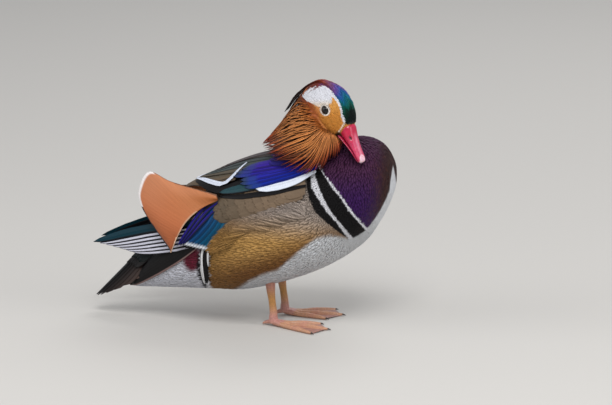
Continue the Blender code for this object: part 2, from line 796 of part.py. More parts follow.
def foot(side, name):
    """Three webbed toes and the small hind toe, flat underneath."""
    toes = []
    lines = []
    for length, angle in zip(TOE_LENGTHS, TOE_ANGLES):
        line = toe_line(side, length, angle)
        lines.append(line)
        heights = (4.5, 2.6, 2.4, 1.8, 0.7)
        radii = (3.6, 2.7, 2.9, 2.3, 0.8)
        toes.append(tube("toe", [(p[0], p[1], h) for p, h in zip(line, heights)], radii))
    for k in (0, 1):
        toes.append(web(lines[k], lines[k + 1]))
    ankle = [(0.5, side * LEG_Y, 3), (0.2, side * LEG_Y, 6), (0, side * LEG_Y, ANKLE_TOP)]
    toes.append(tube("ankle", ankle, (5.2, 5, 4.6)))
    hind = [(-2, side * LEG_Y, 4.5), (-8, side * (LEG_Y - 2), 3), (-12, side * (LEG_Y - 3.5), 1)]
    toes.append(tube("hind", hind, (2.6, 1.8, 0.7)))
    made = toes.pop()
    made.name = name
    combine(made, toes, "UNION")
    combine(made, [box("floor", (-100, -200, -20), (150, 200, 0))], "DIFFERENCE")
    return keep_largest(made)


def web(near, far):
    """The skin between two toes, a flat plate with a scalloped front edge."""
    top, bottom = [], []
    for i in range(5):
        for j in range(4):
            t, s = 0.16 + 0.76 * i / 4, j / 3
            share = t * (1 - 0.16 * math.sin(math.pi * s) * i / 4)
            spots = []
            for line in (near, far):
                start, end = line[0], line[-1]
                spots.append(start + (end - start) * share)
            x, y = spots[0] * (1 - s) + spots[1] * s
            top.append((x, y, 1.5))
            bottom.append((x, y, -0.5))
    return closed_sheet("web", top, bottom, 5, 4)


def leg(side, name):
    """The tarsus from the ankle up into the belly feathers."""
    points = [
        (0, side * LEG_Y, ANKLE_TOP + GAP),
        (0, side * LEG_Y, 14),
        (-1.5, side * (LEG_Y - 0.5), 26),
        (-3, side * (LEG_Y - 1), 38),
        (-4, side * (LEG_Y - 2), 56),
    ]
    made = tube(name, points, (4.5, 4.1, 3.9, 4.8, 6.4))
    combine(made, [torso("cut", GAP)], "DIFFERENCE")
    return keep_largest(made)


COLOURS = {
    "torso": (0.62, 0.42, 0.18),
    "head": (0.85, 0.6, 0.25),
    "neck": (0.5, 0.18, 0.06),
    "crest": (0.02, 0.18, 0.16),
    "bill": (0.75, 0.08, 0.12),
    "eye": (0.02, 0.015, 0.01),
    "wing": (0.2, 0.16, 0.1),
    "primaries": (0.06, 0.07, 0.08),
    "sail": (0.72, 0.3, 0.12),
    "scapulars": (0.05, 0.06, 0.2),
    "tail": (0.06, 0.045, 0.04),
    "leg": (0.8, 0.42, 0.12),
    "foot": (0.75, 0.4, 0.22),
}


def finish(made):
    """Gives a node its plain material and smooth shading, and puts it in the bird's collection."""
    kind = made.name.split("_")[0]
    material = bpy.data.materials.get(kind) or bpy.data.materials.new(kind)
    material.use_nodes = True
    shader = material.node_tree.nodes["Principled BSDF"]
    shader.inputs["Base Color"].default_value = (*COLOURS[kind], 1)
    shader.inputs["Roughness"].default_value = 0.15 if kind == "eye" else 0.6
    made.data.materials.clear()
    made.data.materials.append(material)
    made.data.shade_smooth()
    made.data.set_sharp_from_angle(angle=math.radians(40))


def centre_all(nodes):
    """Moves every node so that the middle of the whole in plan is over the origin."""
    spots = np.array([made.matrix_world @ v.co for made in nodes for v in made.data.vertices])
    middle = (spots.min(0) + spots.max(0)) / 2
    for made in nodes:
        made.data.transform(Matrix.Translation((-middle[0], -middle[1], 0)))


def main():
    for old in list(bpy.data.objects):
        bpy.data.objects.remove(old)
    torso()
    head()
    eyes()
    bill()
    crest()
    neck()
    tail()
    for side, word in ((-1, "right"), (1, "left")):
        wing(side, "wing_" + word)
        primaries(side, "primaries_" + word)
        sail(side, "sail_" + word)
        scapulars(side, "scapulars_" + word)
        foot(side, "foot_" + word)
        leg(side, "leg_" + word)
    nodes = list(bpy.data.objects)
    centre_all(nodes)
    bird = bpy.data.collections.new("mandarin_duck")
    bpy.context.scene.collection.children.link(bird)
    for made in nodes:
        finish(made)
        bpy.context.scene.collection.objects.unlink(made)
        bird.objects.link(made)


main()
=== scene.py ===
import math

import bpy
import numpy as np
from mathutils import Matrix, Vector
from mathutils.bvhtree import BVHTree


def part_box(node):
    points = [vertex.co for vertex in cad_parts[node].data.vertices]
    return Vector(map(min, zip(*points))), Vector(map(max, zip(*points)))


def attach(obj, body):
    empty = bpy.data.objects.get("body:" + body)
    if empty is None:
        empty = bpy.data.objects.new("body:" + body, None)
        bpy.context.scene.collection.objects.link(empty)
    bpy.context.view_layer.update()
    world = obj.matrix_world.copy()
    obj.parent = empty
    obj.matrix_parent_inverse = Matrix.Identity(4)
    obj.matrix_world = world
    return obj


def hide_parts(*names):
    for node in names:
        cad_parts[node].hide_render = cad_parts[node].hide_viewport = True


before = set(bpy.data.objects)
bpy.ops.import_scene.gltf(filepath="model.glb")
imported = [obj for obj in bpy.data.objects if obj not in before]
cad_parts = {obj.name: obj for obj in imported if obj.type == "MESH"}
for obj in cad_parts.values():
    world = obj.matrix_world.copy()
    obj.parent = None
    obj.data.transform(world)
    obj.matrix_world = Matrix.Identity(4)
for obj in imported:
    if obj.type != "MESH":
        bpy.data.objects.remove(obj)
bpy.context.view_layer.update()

CHANCE = np.random.default_rng(7)
VARIED = (0.85, 1.15)

# Sections of the bird in millimetres: forward, lowest, highest, half width.
# The power rounds them: 2 is an ellipse, more is squarer.
POWER, BILL_POWER = 2.15, 2.4
TORSO = (
    (-157, 30.5, 33.5, 3), (-147, 27.5, 43, 15), (-124, 28, 76, 29), (-98, 29, 110, 44), (-66, 30, 139, 57),
    (-30, 31.5, 160, 65), (12, 42.5, 173, 67), (52, 59, 187, 62.5), (84, 80.5, 193.5, 54),
    (103, 104, 187.5, 45.5), (114.5, 128, 174, 28), (119, 146, 158, 8),
)
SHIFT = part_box("torso")[1].x * 1000 - TORSO[-1][0]
WING_SHELL = (
    (-195, 58, 88, 17), (-160, 48, 118, 28), (-130, 34, 136, 39), (-98, 27, 142, 50), (-66, 28, 146, 60.5),
    (-30, 29.5, 163, 67.5), (12, 40.5, 176, 69.5), (52, 57, 190, 65),
)
BACK_SHELL = (
    (-125, 30, 123, 30), (-98, 28, 133, 40), (-84, 28, 141, 48), (-66, 29, 149, 56), (-40, 30, 161, 63),
    (-18, 33, 169.5, 67), (12, 41, 178, 69), (60, 60, 192, 63.5),
)
# What a shell's table of places covers: along the bird, then up the shell, or over the ridge for the back.
SHELL_X, TORSO_REACH, WING_REACH, BACK_REACH = (-192, 62), (30, 160), (60, 160), (18, 97)
# How far over the ridge the back's shell turns by one radian, and how near its rim a place may come.
BACK_ARC, SHELL_RIM = 62, 0.985
HEAD_AT, HEAD_TURN, HEAD_PITCH = (65, -31, 227), 25, 40
HEAD = (
    (-35.5, -13, -6, 5), (-32, -20, 2.5, 12), (-24, -25, 11, 17), (-12, -27, 16.5, 19), (2, -26, 17.5, 18.2),
    (14, -24, 14, 15), (22, -20, 8.5, 11), (26, -15.5, 2, 8),
)
HEAD_MIDDLE = -5
BILL_ROOT, BILL_DROOP = (26.2, 0, -6), 15
UPPER_BILL = (
    (-3, -7.5, 8, 8.2), (0, -7.5, 8, 8.2), (6, -6.3, 5.6, 7.6), (14, -5, 3, 6.6), (22, -4, 1.2, 6),
    (29, -3.9, 0.2, 5.8), (33, -4.4, -0.6, 4.4), (34.5, -4.4, -2, 2.2),
)
LOWER_BILL = (
    (-3, -10.6, -7.9, 7.4), (0, -10.6, -7.9, 7.4), (6, -9.2, -6.8, 6.8), (14, -7.6, -5.5, 6.1),
    (22, -6.5, -4.6, 5.4), (29, -6.1, -4.7, 4.6), (32.5, -5.9, -5, 3),
)
NOSTRIL, NOSTRIL_SIZE = (8.5, 5.6, 2.4), (2.8, 3.5, 1.25)
NAIL_AT, NAIL_SIZE = 32.5, (5.2, 4.2)
EYE, EYE_RADIUS = (0, 14.6, 0), 4.9
CREST_LINE = (
    (17, 13.4), (8, 17), (-6, 18.4), (-18, 15.6), (-29, 8.4),
    (-35.5, -3), (-39.2, -16), (-41, -30), (-40.5, -50),
)
# The ruff's eight ribs, counted round it from the front: the top, the middle and the foot of each.
RUFF = np.array((
    (64, -29, 202, 68, -31, 197, 73, -32, 191), (60, -43, 205, 65, -48, 198, 68, -50, 178),
    (50, -48, 212, 49, -58, 190, 44, -60, 162), (37, -40, 224, 22, -50, 200, 7, -45, 171),
    (30, -15, 234, 9, -16, 207, -14, -9, 182), (39, 0, 228, 24, 10, 204, -4, 24, 183),
    (57, -4, 216, 44, 14, 196, 28, 42, 183), (67, -14, 207, 69, -2, 199, 72, 12, 194),
), float)
RUFF_CORE = 0.55
SAIL_SHAFT = ((-50, 132), (-68, 122), (-81.5, 109.5), (-90.3, 94.8), (-98, 76.5))
SAIL_EDGE = (
    (-52, 137), (-84, 142), (-104, 146), (-127, 153), (-136.5, 134),
    (-133, 120), (-124, 107), (-103, 83), (-99, 78),
)
SIDES = ((-1, "right"), (1, "left"))
SAIL_TURNS = {-1: 0.0, 1: 21.0}
LEG_Y = 25
TAIL_BASE, TAIL_PITCH, TAIL_LENGTH = (-112, 0, 99), 46.5, 113

# Where a point falls in the picture: a start, and what a millimetre forward, aside and up adds to it.
BODY_VIEW = ((279, 0.974, -0.225, 0), (321, 0.0468, 0.2026, -0.978))
HEAD_VIEW = ((335.3, 0.603, -0.616, 0.507), (108.3, 0.727, 0.164, -0.667))
# The outline in the picture of the wing, under which no body feathers grow.
WING_PATCH = [
    (296, 170), (292, 186), (262, 198), (228, 210), (212, 226),
    (200, 232), (195, 215), (215, 192), (205, 182), (255, 160),
]


def catmull(a, b, c, d, t):
    """The smooth curve from b to c at shares t, with a before and d after them."""
    return 0.5 * (2 * b + (c - a) * t + (2 * a - 5 * b + 4 * c - d) * t**2 + (3 * b - a - 3 * c + d) * t**3)


def smooth_rows(rows, steps):
    """Rows of numbers read from a smooth curve through the given rows."""
    rows = np.array(rows, float)
    padded = np.vstack([2 * rows[0] - rows[1], rows, 2 * rows[-1] - rows[-2]])
    shares = np.arange(steps) / steps
    found = [catmull(*padded[i : i + 4], t) for i in range(len(rows) - 1) for t in shares]
    return np.array(found + [rows[-1]])


def line_lengths(line):
    """How far along a line each of its points lies."""
    return np.concatenate([[0], np.cumsum(np.linalg.norm(np.diff(line, axis=0), axis=1))])


def read_line(at, marks, line):
    """Points of a flat line, read at values that its points hold as marks."""
    return np.stack([np.interp(at, marks, line[:, k]) for k in (0, 1)], -1)


def unit(v):
    return v / np.maximum(np.linalg.norm(v, axis=-1, keepdims=True), 1e-9)


def step(x, low, high):
    """A smooth rise from 0 to 1 between low and high."""
    t = np.clip((x - low) / (high - low), 0, 1)
    return t * t * (3 - 2 * t)


def rgb(*values):
    """Linear colour from display values of 0 to 255."""
    v = np.array(values, float) / 255
    return np.where(v < 0.04045, v / 12.92, ((v + 0.055) / 1.055) ** 2.4)


def blend(a, b, share):
    return a + (b - a) * np.asarray(share)[..., None]


def ramp(x, stops):
    """Colours read from a row of (value, colour) stops."""
    at = [s[0] for s in stops]
    return np.stack([np.interp(x, at, [s[1][k] for s in stops]) for k in range(3)], -1)


def read_edge(x, edge):
    """The height of a line of picture points above x."""
    return np.interp(x, *np.transpose(edge))


def inside(x, y, polygon):
    """Which points lie inside a polygon."""
    hit = np.zeros(np.shape(x), bool)
    for (x0, y0), (x1, y1) in zip(polygon, polygon[1:] + polygon[:1]):
        if y0 != y1:
            hit ^= ((y0 > y) != (y1 > y)) & (x < (x1 - x0) * (y - y0) / (y1 - y0) + x0)
    return hit


def frame_matrix(at, turn, pitch):
    """A place with its turn about the upright axis and its pitch forward, in degrees."""
    turned = Matrix.Rotation(math.radians(turn), 4, "Z") @ Matrix.Rotation(math.radians(pitch), 4, "Y")
    return Matrix.Translation(at) @ turned


HEAD_FRAME = frame_matrix(HEAD_AT, -HEAD_TURN, HEAD_PITCH)
BILL_FRAME = HEAD_FRAME @ frame_matrix(BILL_ROOT, 0, BILL_DROOP)


def through(matrix, points):
    m = np.array(matrix)
    return points @ m[:3, :3].T + m[:3, 3]


def seen(points, view=BODY_VIEW):
    """Where points fall in the picture, with the left side folded onto the right."""
    x, y, z = points[..., 0], np.abs(points[..., 1]), points[..., 2]
    return [start + a * x + b * y + c * z for start, a, b, c in view]


def super_round(angle, power):
    c, s = np.cos(angle), np.sin(angle)
    return np.sign(c) * np.abs(c) ** (2 / power), np.sign(s) * np.abs(s) ** (2 / power)


def section_grid(stations, steps, sides, grow=0.0, power=POWER):
    """A grid of points round the smoothed sections."""
    rows = smooth_rows(stations, steps)
    first, last = rows[0, 0] - grow, rows[-1, 0] + grow
    rows[:, 0] = np.clip(rows[:, 0], first, last)
    rows[0, 0], rows[-1, 0] = first, last
    c, s = super_round(np.arange(sides) * 2 * np.pi / sides, power)
    x, low, high, half = (rows[:, k][:, None] for k in range(4))
    y, z = (half + grow) * c, (low + high) / 2 + ((high - low) / 2 + grow) * s
    return np.dstack(np.broadcast_arrays(x, y, z))


def split_quads(a, b, c, d):
    """Two triangles for each four corners."""
    return np.vstack([np.stack([a, b, c], -1).reshape(-1, 3), np.stack([a, c, d], -1).reshape(-1, 3)])


def grid_faces(rows, sides, base=0):
    """Triangles of a closed tube through a grid, with fans at its ends."""
    i, j = np.meshgrid(np.arange(rows - 1), np.arange(sides), indexing="ij")
    k = (j + 1) % sides
    quads = split_quads(i * sides + j, i * sides + k, (i + 1) * sides + k, (i + 1) * sides + j)
    t = np.arange(1, sides - 1)
    hub = np.zeros_like(t)
    ends = np.stack([hub, t + 1, t], -1), (rows - 1) * sides + np.stack([hub, t, t + 1], -1)
    return np.vstack([quads, *ends]) + base


def join_grids(grids):
    """The points and triangles of several closed tubes together."""
    points, faces, count = [], [], 0
    for grid in grids:
        points.append(grid.reshape(-1, 3))
        faces.append(grid_faces(*grid.shape[:2], count))
        count += len(points[-1])
    return np.vstack(points), np.vstack(faces)


def with_lines(tint):
    """Colours with the strength of the fine dark lines beside them, which is nought where none is given."""
    if tint.shape[-1] == 4:
        return tint
    return np.concatenate([tint, np.zeros(tint.shape[:-1] + (1,))], -1)


def paint(mesh, tint):
    """Gives a mesh its colours point by point."""
    layer = mesh.color_attributes.new("Tint", "FLOAT_COLOR", "POINT")
    layer.data.foreach_set("color", np.clip(with_lines(tint), 0, 1).astype(np.float32).ravel())


def set_points(mesh, points):
    """Puts the points of a mesh at places in the bird's millimetres."""
    mesh.vertices.foreach_set("co", ((points + (SHIFT, 0, 0)) * 0.001).astype(np.float32).ravel())


def get_points(mesh):
    """The points of a mesh in the bird's millimetres."""
    spots = np.zeros(len(mesh.vertices) * 3, np.float32)
    mesh.vertices.foreach_get("co", spots)
    return spots.reshape(-1, 3) * 1000.0 - (SHIFT, 0, 0)


def shade_smooth(mesh):
    mesh.polygons.foreach_set("use_smooth", np.full(len(mesh.polygons), True))


def make_mesh(name, points, faces, tint=None, maps=None):
    """A mesh object in the shared frame from points in millimetres, triangles, colours and UV maps."""
    mesh = bpy.data.meshes.new(name)
    count = len(faces)
    mesh.vertices.add(len(points))
    set_points(mesh, points)
    mesh.loops.add(count * 3)
    mesh.loops.foreach_set("vertex_index", faces.astype(np.int32).ravel())
    mesh.polygons.add(count)
    mesh.polygons.foreach_set("loop_start", np.arange(0, count * 3, 3, dtype=np.int32))
    mesh.update(calc_edges=True)
    if tint is not None:
        paint(mesh, tint)
    for key, uv in (maps or {}).items():
        layer = mesh.uv_layers.new(name=key)
        layer.data.foreach_set("uv", uv[faces.ravel()].astype(np.float32).ravel())
    shade_smooth(mesh)
    made = bpy.data.objects.new(name, mesh)
    bpy.context.scene.collection.objects.link(made)
    return made


def melt(made, voxel, rounds):
    """Melts the tubes of a piece together, softens them and returns the new mesh."""
    melting = made.modifiers.new("melt", "REMESH")
    melting.mode = "VOXEL"
    melting.voxel_size = voxel
    soften = made.modifiers.new("soften", "SMOOTH")
    soften.iterations = rounds
    graph = bpy.context.evaluated_depsgraph_get()
    mesh = bpy.data.meshes.new_from_object(made.evaluated_get(graph))
    made.modifiers.clear()
    made.data = mesh
    return mesh


# The noise's middle range, from which the colour varies, and how far the roughness varies with it.
NOISE_RANGE, ROUGH_SPREAD, NOISE_DETAIL = (0.3, 0.7), 0.09, 4
# Barbs leave the shaft at a slant, and the noise stretches along them.
BARB_SLANT, BARB_STRETCH = 0.8, 0.12
# The fine dark lines of the flank are the crests of a wave.
LINE_WAVE = {"Scale": 240, "Distortion": 9, "Detail": 3, "Detail Scale": 1.6}
LINE_CREST, LINE_DEPTH = 0.62, 0.6


def surface_material(name, rough, variation, grain, bump, depth, fibres=False, lines=False, **sockets):
    """A material whose colour, roughness and bump vary by noise over the tint of the mesh."""
    made = bpy.data.materials.new(name)
    made.use_nodes = True
    nodes, links = made.node_tree.nodes, made.node_tree.links
    shader = nodes["Principled BSDF"]

    def fill(socket, value):
        if hasattr(value, "node"):
            links.new(value, socket)
        else:
            socket.default_value = value

    def add(kind, values, **settings):
        node = nodes.new(kind)
        for key, value in settings.items():
            setattr(node, key, value)
        for key, value in values.items():
            fill(node.inputs[key], value)
        return node

    def reckon(operation, *values):
        return add("ShaderNodeMath", dict(enumerate(values)), operation=operation).outputs[0]

    def place():
        return add("ShaderNodeTexCoord", {}).outputs["Object"]

    def carry(value, low, high, first=0.0, last=1.0):
        """The value, carried from the range first to last to the range low to high."""
        ends = {"Value": value, "From Min": first, "From Max": last, "To Min": low, "To Max": high}
        return add("ShaderNodeMapRange", ends).outputs[0]

    tint = add("ShaderNodeAttribute", {}, attribute_name="Tint")
    if fibres:
        chart = add("ShaderNodeUVMap", {}, uv_map="Vane")
        aside, along, _ = add("ShaderNodeSeparateXYZ", {0: chart.outputs[0]}).outputs
        slant = reckon("SUBTRACT", along, reckon("MULTIPLY", reckon("ABSOLUTE", aside), BARB_SLANT))
        course = reckon("MULTIPLY", reckon("ADD", along, aside), BARB_STRETCH)
        spot = add("ShaderNodeCombineXYZ", {"X": slant, "Y": course}).outputs[0]
    else:
        spot = place()
    noise = add("ShaderNodeTexNoise", {"Vector": spot, "Scale": grain, "Detail": NOISE_DETAIL}).outputs[0]
    level = carry(noise, 1 - variation, 1 + variation, *NOISE_RANGE)
    if lines:
        wave = add("ShaderNodeTexWave", {"Vector": place(), **LINE_WAVE}, bands_direction="DIAGONAL")
        thin = reckon("GREATER_THAN", wave.outputs["Fac"], LINE_CREST)
        dark = reckon("MULTIPLY", reckon("MULTIPLY", thin, tint.outputs["Alpha"]), LINE_DEPTH)
        level = reckon("MULTIPLY", level, reckon("SUBTRACT", 1.0, dark))
    colour = add("ShaderNodeVectorMath", {0: tint.outputs["Color"], "Scale": level}, operation="SCALE")
    raised = add("ShaderNodeBump", {"Strength": bump, "Distance": depth, "Height": noise})
    fill(shader.inputs["Base Color"], colour.outputs[0])
    fill(shader.inputs["Roughness"], carry(noise, rough - ROUGH_SPREAD, rough + ROUGH_SPREAD))
    fill(shader.inputs["Normal"], raised.outputs[0])
    for key, value in sockets.items():
        shader.inputs[key.replace("_", " ")].default_value = value
    return made


FEATHER = surface_material(
    "feather", rough=0.68, variation=0.14, grain=2.2, bump=0.2, depth=0.0002,
    fibres=True, lines=True, Specular_IOR_Level=0.18,
)
GLOSSY = surface_material(
    "glossy_feather", rough=0.45, variation=0.2, grain=2.6, bump=0.3, depth=0.0003,
    fibres=True, Specular_IOR_Level=0.14,
)
BLADE = surface_material(
    "blade_feather", rough=0.5, variation=0.16, grain=2.8, bump=0.4, depth=0.00025,
    fibres=True, Specular_IOR_Level=0.25,
)
HACKLE = surface_material(
    "hackle_feather", rough=0.5, variation=0.25, grain=1.6, bump=0.3, depth=0.0003,
    fibres=True, Specular_IOR_Level=0.25,
)
DOWN = surface_material("down_skin", rough=0.8, variation=0.2, grain=900, bump=0.3, depth=0.0004)
HORN = surface_material(
    "bill_horn", rough=0.32, variation=0.16, grain=420, bump=0.25, depth=0.0003,
    Coat_Weight=0.25, Subsurface_Weight=0.08,
)
SCALY = surface_material(
    "scaly_skin", rough=0.45, variation=0.2, grain=700, bump=0.5, depth=0.0004, Coat_Weight=0.1,
)
LID = surface_material("lid_skin", rough=0.6, variation=0.15, grain=1500, bump=0.3, depth=0.0002)
GLASS = surface_material(
    "eye_gloss", rough=0.12, variation=0.08, grain=900, bump=0.02, depth=0.00005,
    Coat_Weight=0.15, Coat_Roughness=0.03, Specular_IOR_Level=0.35,
)


def settle(made, material, slot, *nodes):
    """Gives a piece its material and its body, and hides the CAD nodes it stands for."""
    made.data.materials.append(material)
    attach(made, "root")
    if nodes:
        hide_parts(*nodes)
    return made


BAKE_PATCH, BAKE_EDGE = 0.003, 0.004


class Coat:
    """Feathers joined as one mesh, each a closed tube of rings with its own patch of the bake map."""

    def __init__(self, name, material, slot, *nodes):
        self.label = (name, material, slot, nodes)
        self.points, self.faces, self.tints, self.vanes, self.bakes = [], [], [], [], []
        self.count = 0

    def add(self, rings, tint, vane, bake):
        """Adds n feathers: rings, tint and vane are (n, rows, sides, ...), and bake is (n, 2)."""
        n, rows, sides, _ = rings.shape
        offsets = self.count + np.arange(n) * rows * sides
        self.faces.append((grid_faces(rows, sides)[None] + offsets[:, None, None]).reshape(-1, 3))
        self.points.append(rings.reshape(-1, 3))
        self.tints.append(np.broadcast_to(with_lines(tint), (n, rows, sides, 4)).reshape(-1, 4))
        self.vanes.append(vane.reshape(-1, 2))
        i, j = np.meshgrid(np.linspace(-0.5, 0.5, rows), np.linspace(-0.5, 0.5, sides), indexing="ij")
        middle = np.clip(bake, BAKE_EDGE, 1 - BAKE_EDGE)[:, None, None]
        self.bakes.append((middle + np.stack([j, i], -1) * BAKE_PATCH).reshape(-1, 2))
        self.count += n * rows * sides

    def make(self):
        name, material, slot, nodes = self.label
        maps = {"OFBake": np.vstack(self.bakes), "Vane": np.vstack(self.vanes)}
        made = make_mesh(name, np.vstack(self.points), np.vstack(self.faces), np.vstack(self.tints), maps)
        return settle(made, material, slot, *nodes)


def round_chart(spots, height, back, length):
    """Places in the bake map by the angle round a middle line and the share along it."""
    return np.stack([np.arctan2(spots[:, 1], height) / (2 * np.pi) + 0.5, (spots[:, 0] - back) / length], -1)


def barb_rings(line, normal, half, ridge):
    """Narrow feathers with a raised shaft: three points in each row, and their places on the vane."""
    along = np.empty_like(line)
    along[:, 1:-1] = line[:, 2:] - line[:, :-2]
    along[:, 0], along[:, -1] = line[:, 1] - line[:, 0], line[:, -1] - line[:, -2]
    along = unit(along)
    normal = unit(normal - along * np.sum(normal * along, -1, keepdims=True))
    across = np.cross(normal, along)
    h, r = half[..., None], ridge[..., None]
    rings = np.stack([line - across * h, line + normal * r, line + across * h], 2)
    pieces = np.linalg.norm(np.diff(line, axis=1), axis=-1)
    run = np.cumsum(np.concatenate([np.zeros((len(line), 1)), pieces], 1), 1)
    start = CHANCE.uniform(0, 400, (len(line), 1))
    aside = np.stack([-half, np.zeros_like(half), half], -1)
    return rings, np.stack([aside, np.repeat((run + start)[..., None], 3, -1)], -1)


def vane_width(t):
    """The share of its breadth that a broad feather has at shares of its length."""
    root = np.minimum(1, 0.5 + 1.6 * t)
    tip = np.clip((t - 0.6) / 0.4, 0, 1)
    return root * np.maximum(0.06, np.sqrt(np.clip(1 - tip**2.3, 0, 1)))


RAGGED = 0.03


def lay_vane(place, path, breadth, lifts, tilt, rows, columns, thick):
    """One broad feather on a surface: its ring, its shares along and across, and its places on the vane."""
    line = smooth_rows(path, 5)
    lengths = line_lengths(line)
    t, v = np.linspace(0, 1, rows), np.linspace(-1, 1, columns)
    run = t * lengths[-1]
    before, after = np.maximum(run - 1, 0), np.minimum(run + 1, lengths[-1])
    along = unit(read_line(after, lengths, line) - read_line(before, lengths, line))
    across = np.stack([-along[:, 1], along[:, 0]], -1)
    width = breadth * vane_width(t) / 2
    ragged = 1 + RAGGED * CHANCE.uniform(-1, 1, (rows, 2))
    reach = np.where(v[None] < 0, ragged[:, :1], ragged[:, 1:]) * v[None] * width[:, None]
    uv = read_line(run, lengths, line)[:, None] + across[:, None] * reach[..., None]
    lift = np.interp(t, np.linspace(0, 1, len(lifts)), lifts)[:, None] + tilt * v[None]
    crown = thick * (1 + 0.7 * np.exp(-((v * 5) ** 2)) + 0.5 * (1 - v * v))
    top = place(uv[..., 0], uv[..., 1], lift + crown * (0.55 + 0.45 * (1 - np.abs(v))))
    bottom = place(uv[..., 0], uv[..., 1], lift)
    v = np.concatenate([v, v[::-1]])
    down = np.repeat((run + CHANCE.uniform(0, 300))[:, None], 2 * columns, 1)
    vane = np.stack([v[None] * width[:, None], down], -1)
    shares = np.repeat(t[:, None], 2 * columns, 1), np.repeat(v[None], rows, 0)
    return np.concatenate([top, bottom[:, ::-1]], 1), *shares, vane


class Shell:
    """A smooth surface round the bird on which feathers are laid, addressed by two lengths.

    The first length runs forward. The second is the height, or on the back the way over the ridge."""

    def __init__(self, stations, side, reach, back=False):
        self.rows, self.side, self.reach, self.back = smooth_rows(stations, 12), side, reach, back
        self.table = None

    def bare(self, x, v):
        low, high, half = (np.interp(x, self.rows[:, 0], self.rows[:, k]) for k in (1, 2, 3))
        middle, height = (low + high) / 2, (high - low) / 2
        if self.back:
            c, s = super_round(np.minimum(v / BACK_ARC, np.pi / 2), POWER)
            return np.stack([x, self.side * half * c, middle + height * s], -1)
        share = np.minimum(SHELL_RIM, np.abs(v - middle) / height)
        return np.stack([x, self.side * half * (1 - share**POWER) ** (1 / POWER), v], -1)

    def place(self, x, v, lift):
        x, v = np.asarray(x, float), np.asarray(v, float)
        here = self.bare(x, v)
        along = self.bare(x + 1, v) - self.bare(x - 1, v)
        up = self.bare(x, v + 1) - self.bare(x, v - 1)
        return here + np.asarray(lift)[..., None] * unit(self.side * np.cross(up, along))

    def from_picture(self, points):
        """The surface's own coordinates of points that are given by their place in the picture."""
        if self.table is None:
            x, v = np.meshgrid(np.arange(*SHELL_X, 1.0), np.arange(*self.reach, 1.0), indexing="ij")
            spots = seen(self.place(x, v, np.full(x.shape, 0.5)))
            self.table = [np.stack(pair, -1).reshape(-1, 2) for pair in (spots, (x, v))]
        found = []
        for point in points:
            gap = np.sum((self.table[0] - point) ** 2, -1)
            near = np.argsort(gap)[:5]
            weight = 1 / (gap[near] + 0.05)
            found.append((self.table[1][near] * weight[:, None]).sum(0) / weight.sum())
        return np.array(found)


def guide_tree(points, faces):
    return BVHTree.FromPolygons([Vector(p) for p in points], [tuple(f) for f in faces])


def is_close(a, b, gap):
    return (a[0] - b[0]) ** 2 + (a[1] - b[1]) ** 2 + (a[2] - b[2]) ** 2 < gap * gap


def scatter(points, faces, gap, tries, keep):
    """Points spread evenly over the kept part of a mesh, at least a gap apart."""
    corners = points[faces]
    areas = np.linalg.norm(np.cross(corners[:, 1] - corners[:, 0], corners[:, 2] - corners[:, 0]), axis=-1)
    chosen = CHANCE.choice(len(faces), tries, p=areas / areas.sum())
    a, b = CHANCE.random(tries), CHANCE.random(tries)
    flip = a + b > 1
    a, b = np.where(flip, 1 - a, a), np.where(flip, 1 - b, b)
    c = corners[chosen]
    spots = c[:, 0] + (c[:, 1] - c[:, 0]) * a[:, None] + (c[:, 2] - c[:, 0]) * b[:, None]
    spots = spots[keep(spots)]
    cells, taken = {}, []
    near = [(i, j, k) for i in (-1, 0, 1) for j in (-1, 0, 1) for k in (-1, 0, 1)]
    for spot, (x, y, z) in zip(spots, np.floor(spots / gap).astype(int)):
        around = (cells.get((x + i, y + j, z + k)) for i, j, k in near)
        if not any(other is not None and is_close(other, spot, gap) for other in around):
            cells[(x, y, z)] = spot
            taken.append(spot)
    return np.array(taken)


def comb(tree, roots, lengths, rows, flow, middle):
    """Lines that run over a surface from their roots with the flow: points and normals."""
    line, normals, spots = [], [], roots
    for _ in range(rows):
        hits = [tree.find_nearest(Vector(p)) for p in spots]
        here, normal = (np.array([h[k] for h in hits]) for k in (0, 1))
        normal *= np.where(np.sum(normal * (here - middle(here)), -1, keepdims=True) < 0, -1, 1)
        line.append(here)
        normals.append(normal)
        way = flow(here)
        way = unit(way - normal * np.sum(way * normal, -1, keepdims=True))
        spots = here + way * (lengths / (rows - 1))[:, None]
    return np.stack(line, 1), np.stack(normals, 1)


TORSO_ROWS = smooth_rows(TORSO, 8)

# The bird's markings, by their edges in the picture.
BLACK, WHITE = rgb(14, 12, 14), rgb(222, 222, 228)
STRIPE_Y = (165, 175, 187, 199, 212, 222, 233, 238)
STRIPE_EDGES = (
    (305.5, 306, 306.3, 309, 315, 325.5, 339.8, 347.4),
    (310.4, 310.6, 311, 318, 326.5, 336, 343.6, 348.2),
    (314, 314.6, 318.5, 323.5, 331, 338.8, 348.5, 352.5),
    (317, 323.5, 331, 340.7, 349, 358, 368, 372),
    (319, 324.5, 334, 342.8, 352.4, 361.3, 371.5, 376),
)
BELLY_EDGE = (
    (125, 296), (200, 296), (234.2, 290.4), (249.4, 280.7), (262.4, 274.2), (277.6, 269.9),
    (288.4, 260), (302.5, 248), (315.5, 238), (330, 235), (343, 237), (352, 239.5),
    (370, 240), (380, 222), (387, 200), (392, 180), (395, 165),
)
REAR_Y = (225, 230, 238, 249, 260, 275, 288, 300)
REAR_EDGES = (
    (226, 217, 210, 200.5, 196.8, 198, 204, 209),
    (228, 219, 212, 202.3, 199.7, 202.8, 207.5, 212),
    (229.5, 221.5, 214.2, 204.5, 202.6, 206, 210.3, 214.5),
    (232, 225, 216.5, 207.2, 206.3, 208, 211, 215),
    (235, 228, 218.5, 209, 209, 209, 211.5, 215.5),
)
RUFOUS_SHADE_EDGE = ((210, 258), (260, 246), (330, 222))
